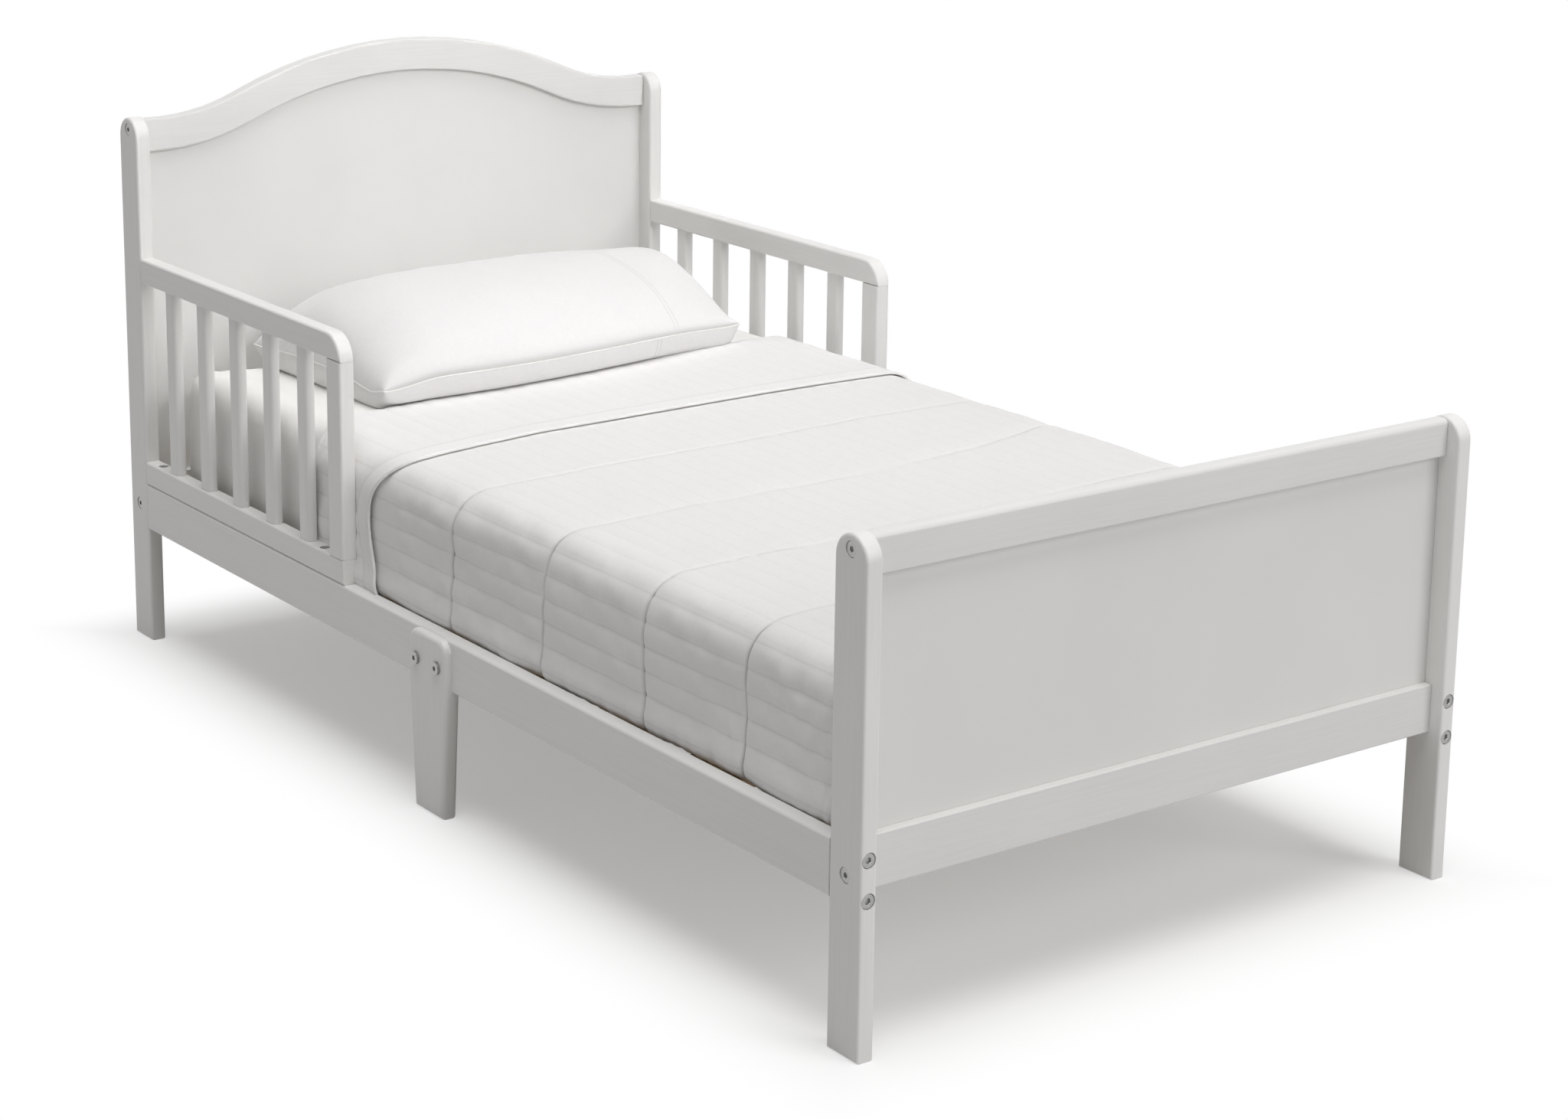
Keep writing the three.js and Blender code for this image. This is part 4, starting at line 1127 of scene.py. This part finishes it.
# %% [markdown]
# ## The pillow
#
# The case is the finest of the three cottons. Two rows of stitches hold the hem of its
# open end, a little askew, and one row runs along each long border. They are thin enough
# to leave to the material, which paints shade into their ditches.

# %% Pillowcase cotton
PILLOW_CUT = (0.540, 0.385)     # the case, cut
CASE_RELIEF = 0.00004
CASE_HEM, CASE_HEM_SLANT = 0.150, -0.03     # the hem's seam across the case, and how askew it runs
CASE_HEM_ROWS = (0.0, 0.006)
CASE_STITCH, BORDER_STITCH = (0.0026, 0.0004, 0.0022), (0.0026, 0.0004, 0.0030)
BORDER_IN = 0.0005              # the border's stitches from the edge of the cut cloth
# how dark the painted shade in the stitches' ditches is, and below it its colour
CASE_HEM_DARK, CASE_DARK = 0.55, 0.5
CASE_DITCH_SHADE = (0.45, 0.43, 0.41, 1)
CASE_STITCH_RELIEF = -0.0003

case_cotton, tree, shader, cut, woven, height = cotton(
    "pillowcase cotton", CASE_WHITE, FINE_PITCH, CASE_RELIEF)
place = add(tree, "ShaderNodeSeparateXYZ", Vector=cut).outputs
slant = sums(tree, "MULTIPLY_ADD", place[1], CASE_HEM_SLANT, CASE_HEM)
off_line = sums(tree, "SUBTRACT", place[0], slant)
hem_ditches = [stitch_row(tree, sums(tree, "SUBTRACT", off_line, step), place[1], CASE_STITCH)["Ditch"]
               for step in CASE_HEM_ROWS]
from_border = sums(tree, "SUBTRACT", PILLOW_CUT[1] / 2 - BORDER_IN, sums(tree, "ABSOLUTE", place[1]))
border_ditch = stitch_row(tree, from_border, place[0], BORDER_STITCH)["Ditch"]
hem_ditch = sums(tree, "MULTIPLY", sums(tree, "MAXIMUM", *hem_ditches), CASE_HEM_DARK)
lines = sums(tree, "MAXIMUM", hem_ditch, border_ditch)
# painted shade along the stitch lines
shadowed = blend_colour(tree, sums(tree, "MULTIPLY", lines, CASE_DARK), woven, CASE_DITCH_SHADE)
finish_cotton(tree, shader, shadowed, sums(tree, "MULTIPLY_ADD", lines, CASE_STITCH_RELIEF, height))
print("made", case_cotton.name)

# %% [markdown]
# A pillow is two rectangles of cloth sewn together round the edge and stuffed. That is how
# it is made here: two grids that share their border, which is the seam. The upper one
# rises from it to a crest, steeply at the stuffed left end, and like a tent towards the
# open end of the case on the right. The lower one goes straight down to the bed and
# flattens there. A short cloth simulation with pressure then rounds it all, as stuffing
# does. Last, the points are evened out, so that the seam has no sharp ridge, and a few
# dents and creases are pressed in where the case is loose.

# %% Pillow, cut and sewn
PILLOW_LONG, PILLOW_WIDE = 0.509, 0.306     # between its corners, when it is filled
PILLOW_BOW = 0.155              # how far the long sides stand out beyond the corners, as a share
PILLOW_TURN = math.radians(1.5)
SEAM_RISE = 0.030               # seam above the bed
PILLOW_BELLY = 0.060            # depth under the seam, if there were no bed
PILLOW_STEP = 0.0062
PILLOW_OFF_MIDDLE = 0.004       # it lies a little to the right of the CAD pillow
LOOSE_TOP = 0.007               # the loose case stands up from the filling
LAST_PART = 0.93                # points follow a sine over this share of a quarter turn
OPEN_FROM, OPEN_TO = 0.30, 0.95 # the case's open end isn't stuffed
TOP_ENDS, BELOW_ENDS = (4.4, 30), (9, 24)   # fullness of the stuffed end and the open end
BELOW_SIDES = 4.5               # fullness of the underside, from the front to the back
NEAR_DROOP, END_DROOP = 0.010, 0.004        # how far the seam sinks at the corners
AIR = 0.0006                    # between the pillow and the bed
TURNED_PUFF = 0.0018            # air and channels between the layers of the turned cover
COVER_SHOWS, COVER_FULL = 0.345, 0.322      # along the bed: where the turned cover begins

low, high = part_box("pillow")
pillow_middle = (low + high) / 2 + Vector((PILLOW_OFF_MIDDLE, 0, 0))
pillow_top = high.z + LOOSE_TOP


def bed_under(x, y):
    """Height of whatever the pillow rests on: the sheet, or the turned cover."""
    turned_cover = LAY + 2 * COVER_THICK + TURNED_PUFF
    return MATTRESS_TOP + swell(x) + AIR + turned_cover * ease(y, COVER_SHOWS, COVER_FULL)


quarter = math.pi / 2 * LAST_PART
A, B = np.meshgrid(*(np.sin(np.linspace(-1, 1, int(size / PILLOW_STEP)) * quarter) / math.sin(quarter)
                     for size in PILLOW_CUT))
x = PILLOW_LONG / 2 * A
y = PILLOW_WIDE / 2 * B * (1 + PILLOW_BOW * (1 - A ** 2))
x, y = (pillow_middle.x + x * math.cos(PILLOW_TURN) - y * math.sin(PILLOW_TURN),
        pillow_middle.y + x * math.sin(PILLOW_TURN) + y * math.cos(PILLOW_TURN))
bed = bed_under(x, y)
droop = NEAR_DROOP * ease(-A, 0.70, 1.0) * ease(-B, 0.3, 1.0) + END_DROOP * ease(A, 0.6, 1.0)
droop += END_DROOP * ease(B, 0.4, 1.0) * ease(np.abs(A), 0.7, 1.0)
seam = bed + SEAM_RISE - droop
stuffed, tent = (1 - B ** 2) ** 0.6, 1 - np.abs(B) ** 1.75
slope = stuffed + (tent - stuffed) * ease(A, OPEN_FROM, OPEN_TO)


def rounded(share, fullness):
    """1 in the middle and 0 at both ends; the fuller, the nearer to a square end."""
    return (1 - np.abs(share) ** fullness) ** 0.5


def rounded_ends(stuffed_end, open_end):
    return np.where(A < 0, rounded(A, stuffed_end), rounded(A, open_end))


above = seam + (pillow_top - seam) * slope * rounded_ends(*TOP_ENDS)
below = seam - PILLOW_BELLY * rounded(B, BELOW_SIDES) * rounded_ends(*BELOW_ENDS)
flat = np.stack([A * PILLOW_CUT[0] / 2, B * PILLOW_CUT[1] / 2], -1)
pillow = woven_piece("pillow_in_its_case", np.stack([x, y, above], -1), flat, case_cotton)
below = np.stack([x, y, below], -1)
bottom = woven_piece("lower half", below[::-1], (flat + (0, 1))[::-1], case_cotton)
shape = bmesh.new()
shape.from_mesh(pillow.data)
shape.from_mesh(bottom.data)
bmesh.ops.remove_doubles(shape, verts=shape.verts, dist=1e-5)
bmesh.ops.recalc_face_normals(shape, faces=shape.faces)
shape.to_mesh(pillow.data)
shape.free()
bpy.data.objects.remove(bottom)
print("pillow sewn from", len(pillow.data.vertices), "points")

# %% Pillow, filled and evened out
PILLOW_PRESSURE, PILLOW_STIFFNESS, PILLOW_FRAMES, PILLOW_MOST = 4.0, 12, 18, 0.006
EVENINGS, EVENED = 20, 0.5      # how often, and how far each point moves to its neighbours' middle

most = fill_with_air(pillow, PILLOW_PRESSURE, PILLOW_FRAMES, PILLOW_MOST, PILLOW_STIFFNESS)
print("the filling pushed the pillow's cloth by", round(most, 3), "m at most")
co = points_of(pillow.data)
joined = np.array([edge.vertices[:] for edge in pillow.data.edges])
neighbours = np.bincount(joined.ravel(), minlength=len(co))[:, None]
for _ in range(EVENINGS):
    pull = np.zeros_like(co)
    np.add.at(pull, joined[:, 0], co[joined[:, 1]])
    np.add.at(pull, joined[:, 1], co[joined[:, 0]])
    co += EVENED * (pull / neighbours - co)
print("pillow of", [round(v, 3) for v in np.ptp(co, axis=0)], "m in the air")

# %% Pillow, creased and laid down
DENT_AT, DENT_HALF, DENT = (-0.215, 0.350), (0.022, 0.035), 0.003
CREASES = (                     # middle, direction, half-width, half-length, depth
    ((-0.035, 0.330), 0.55, 0.0045, 0.035, 0.0010),
    ((-0.010, 0.345), 0.75, 0.0040, 0.030, 0.0009),
    ((0.165, 0.380), 1.2, 0.0050, 0.040, 0.0008),
    ((-0.200, 0.400), 2.3, 0.0060, 0.040, 0.0010),
    ((0.070, 0.330), 0.9, 0.0045, 0.025, 0.0007),
)
LUMPS = ((0.0011, 0.13, 31), (0.0004, 0.045, 32))       # height, size and seed
UPPER_FROM, UPPER_TO = 0.045, 0.060     # above the bed: where creases begin to show
PRESSED = 0.003                 # how softly the cloth comes to lie on the bed

dent = DENT * hump(co[:, 0], DENT_AT[0], DENT_HALF[0]) * hump(co[:, 1], DENT_AT[1], DENT_HALF[1])
for place, along, wide, long, deep in CREASES:
    off = co[:, :2] - place
    ahead = off @ np.array([math.cos(along), math.sin(along)])
    aside = off @ np.array([-math.sin(along), math.cos(along)])
    dent += deep * hump(aside, 0, wide) * hump(ahead, 0, long)
soft = sum(rise * rolling(co[:, 0], co[:, 1], size, seed) for rise, size, seed in LUMPS)
bed = bed_under(co[:, 0], co[:, 1])
co[:, 2] += ease(co[:, 2] - bed, UPPER_FROM, UPPER_TO) * (soft - dent)
co[:, 2] = bed + PRESSED * np.logaddexp(0, (co[:, 2] - bed) / PRESSED)
move_points(pillow.data, co)
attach(pillow, "pillow")
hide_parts("pillow")
print("pillow of", [round(v, 3) for v in np.ptp(co, axis=0)], "m on the bed")

# %% [markdown]
# Where the two halves of the case meet, the seam stands up as a thin ridge. A curve with a
# round section runs through the points of that border. The upper half lies below 0.5 on
# the cut cloth and the lower half above it, so the border is every edge between the two.

# %% Seam round the pillow
CORD_RADIUS = 0.0008
HALVES_AT = 0.5
shape = bmesh.new()
shape.from_mesh(pillow.data)
layer = shape.loops.layers.uv["cut"]


def in_lower_half(face):
    return face.loops[0][layer].uv.y > HALVES_AT


border = [e for e in shape.edges
          if len(e.link_faces) == 2 and len({in_lower_half(face) for face in e.link_faces}) == 2]
chain = [border[0].verts[0]]
links = {}
for e in border:
    for a, b in (e.verts, reversed(e.verts)):
        links.setdefault(a, []).append(b)
previous = None
while True:
    ahead = [v for v in links[chain[-1]] if v is not previous]
    previous = chain[-1]
    if ahead[0] is chain[0] and len(chain) > 2:
        break
    chain.append(ahead[0])
curve = bpy.data.curves.new("pillow_seam", "CURVE")
curve.dimensions = "3D"
curve.bevel_depth = CORD_RADIUS
curve.bevel_resolution = 2
spline = curve.splines.new("POLY")
spline.points.add(len(chain) - 1)
for point, vertex in zip(spline.points, chain):
    point.co = (*vertex.co, 1)
spline.use_cyclic_u = True
shape.free()
seam_line = into_scene("pillow_seam", curve)
curve.materials.append(sheet_cotton)
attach(seam_line, "pillow")
print("seam of", len(chain), "points")
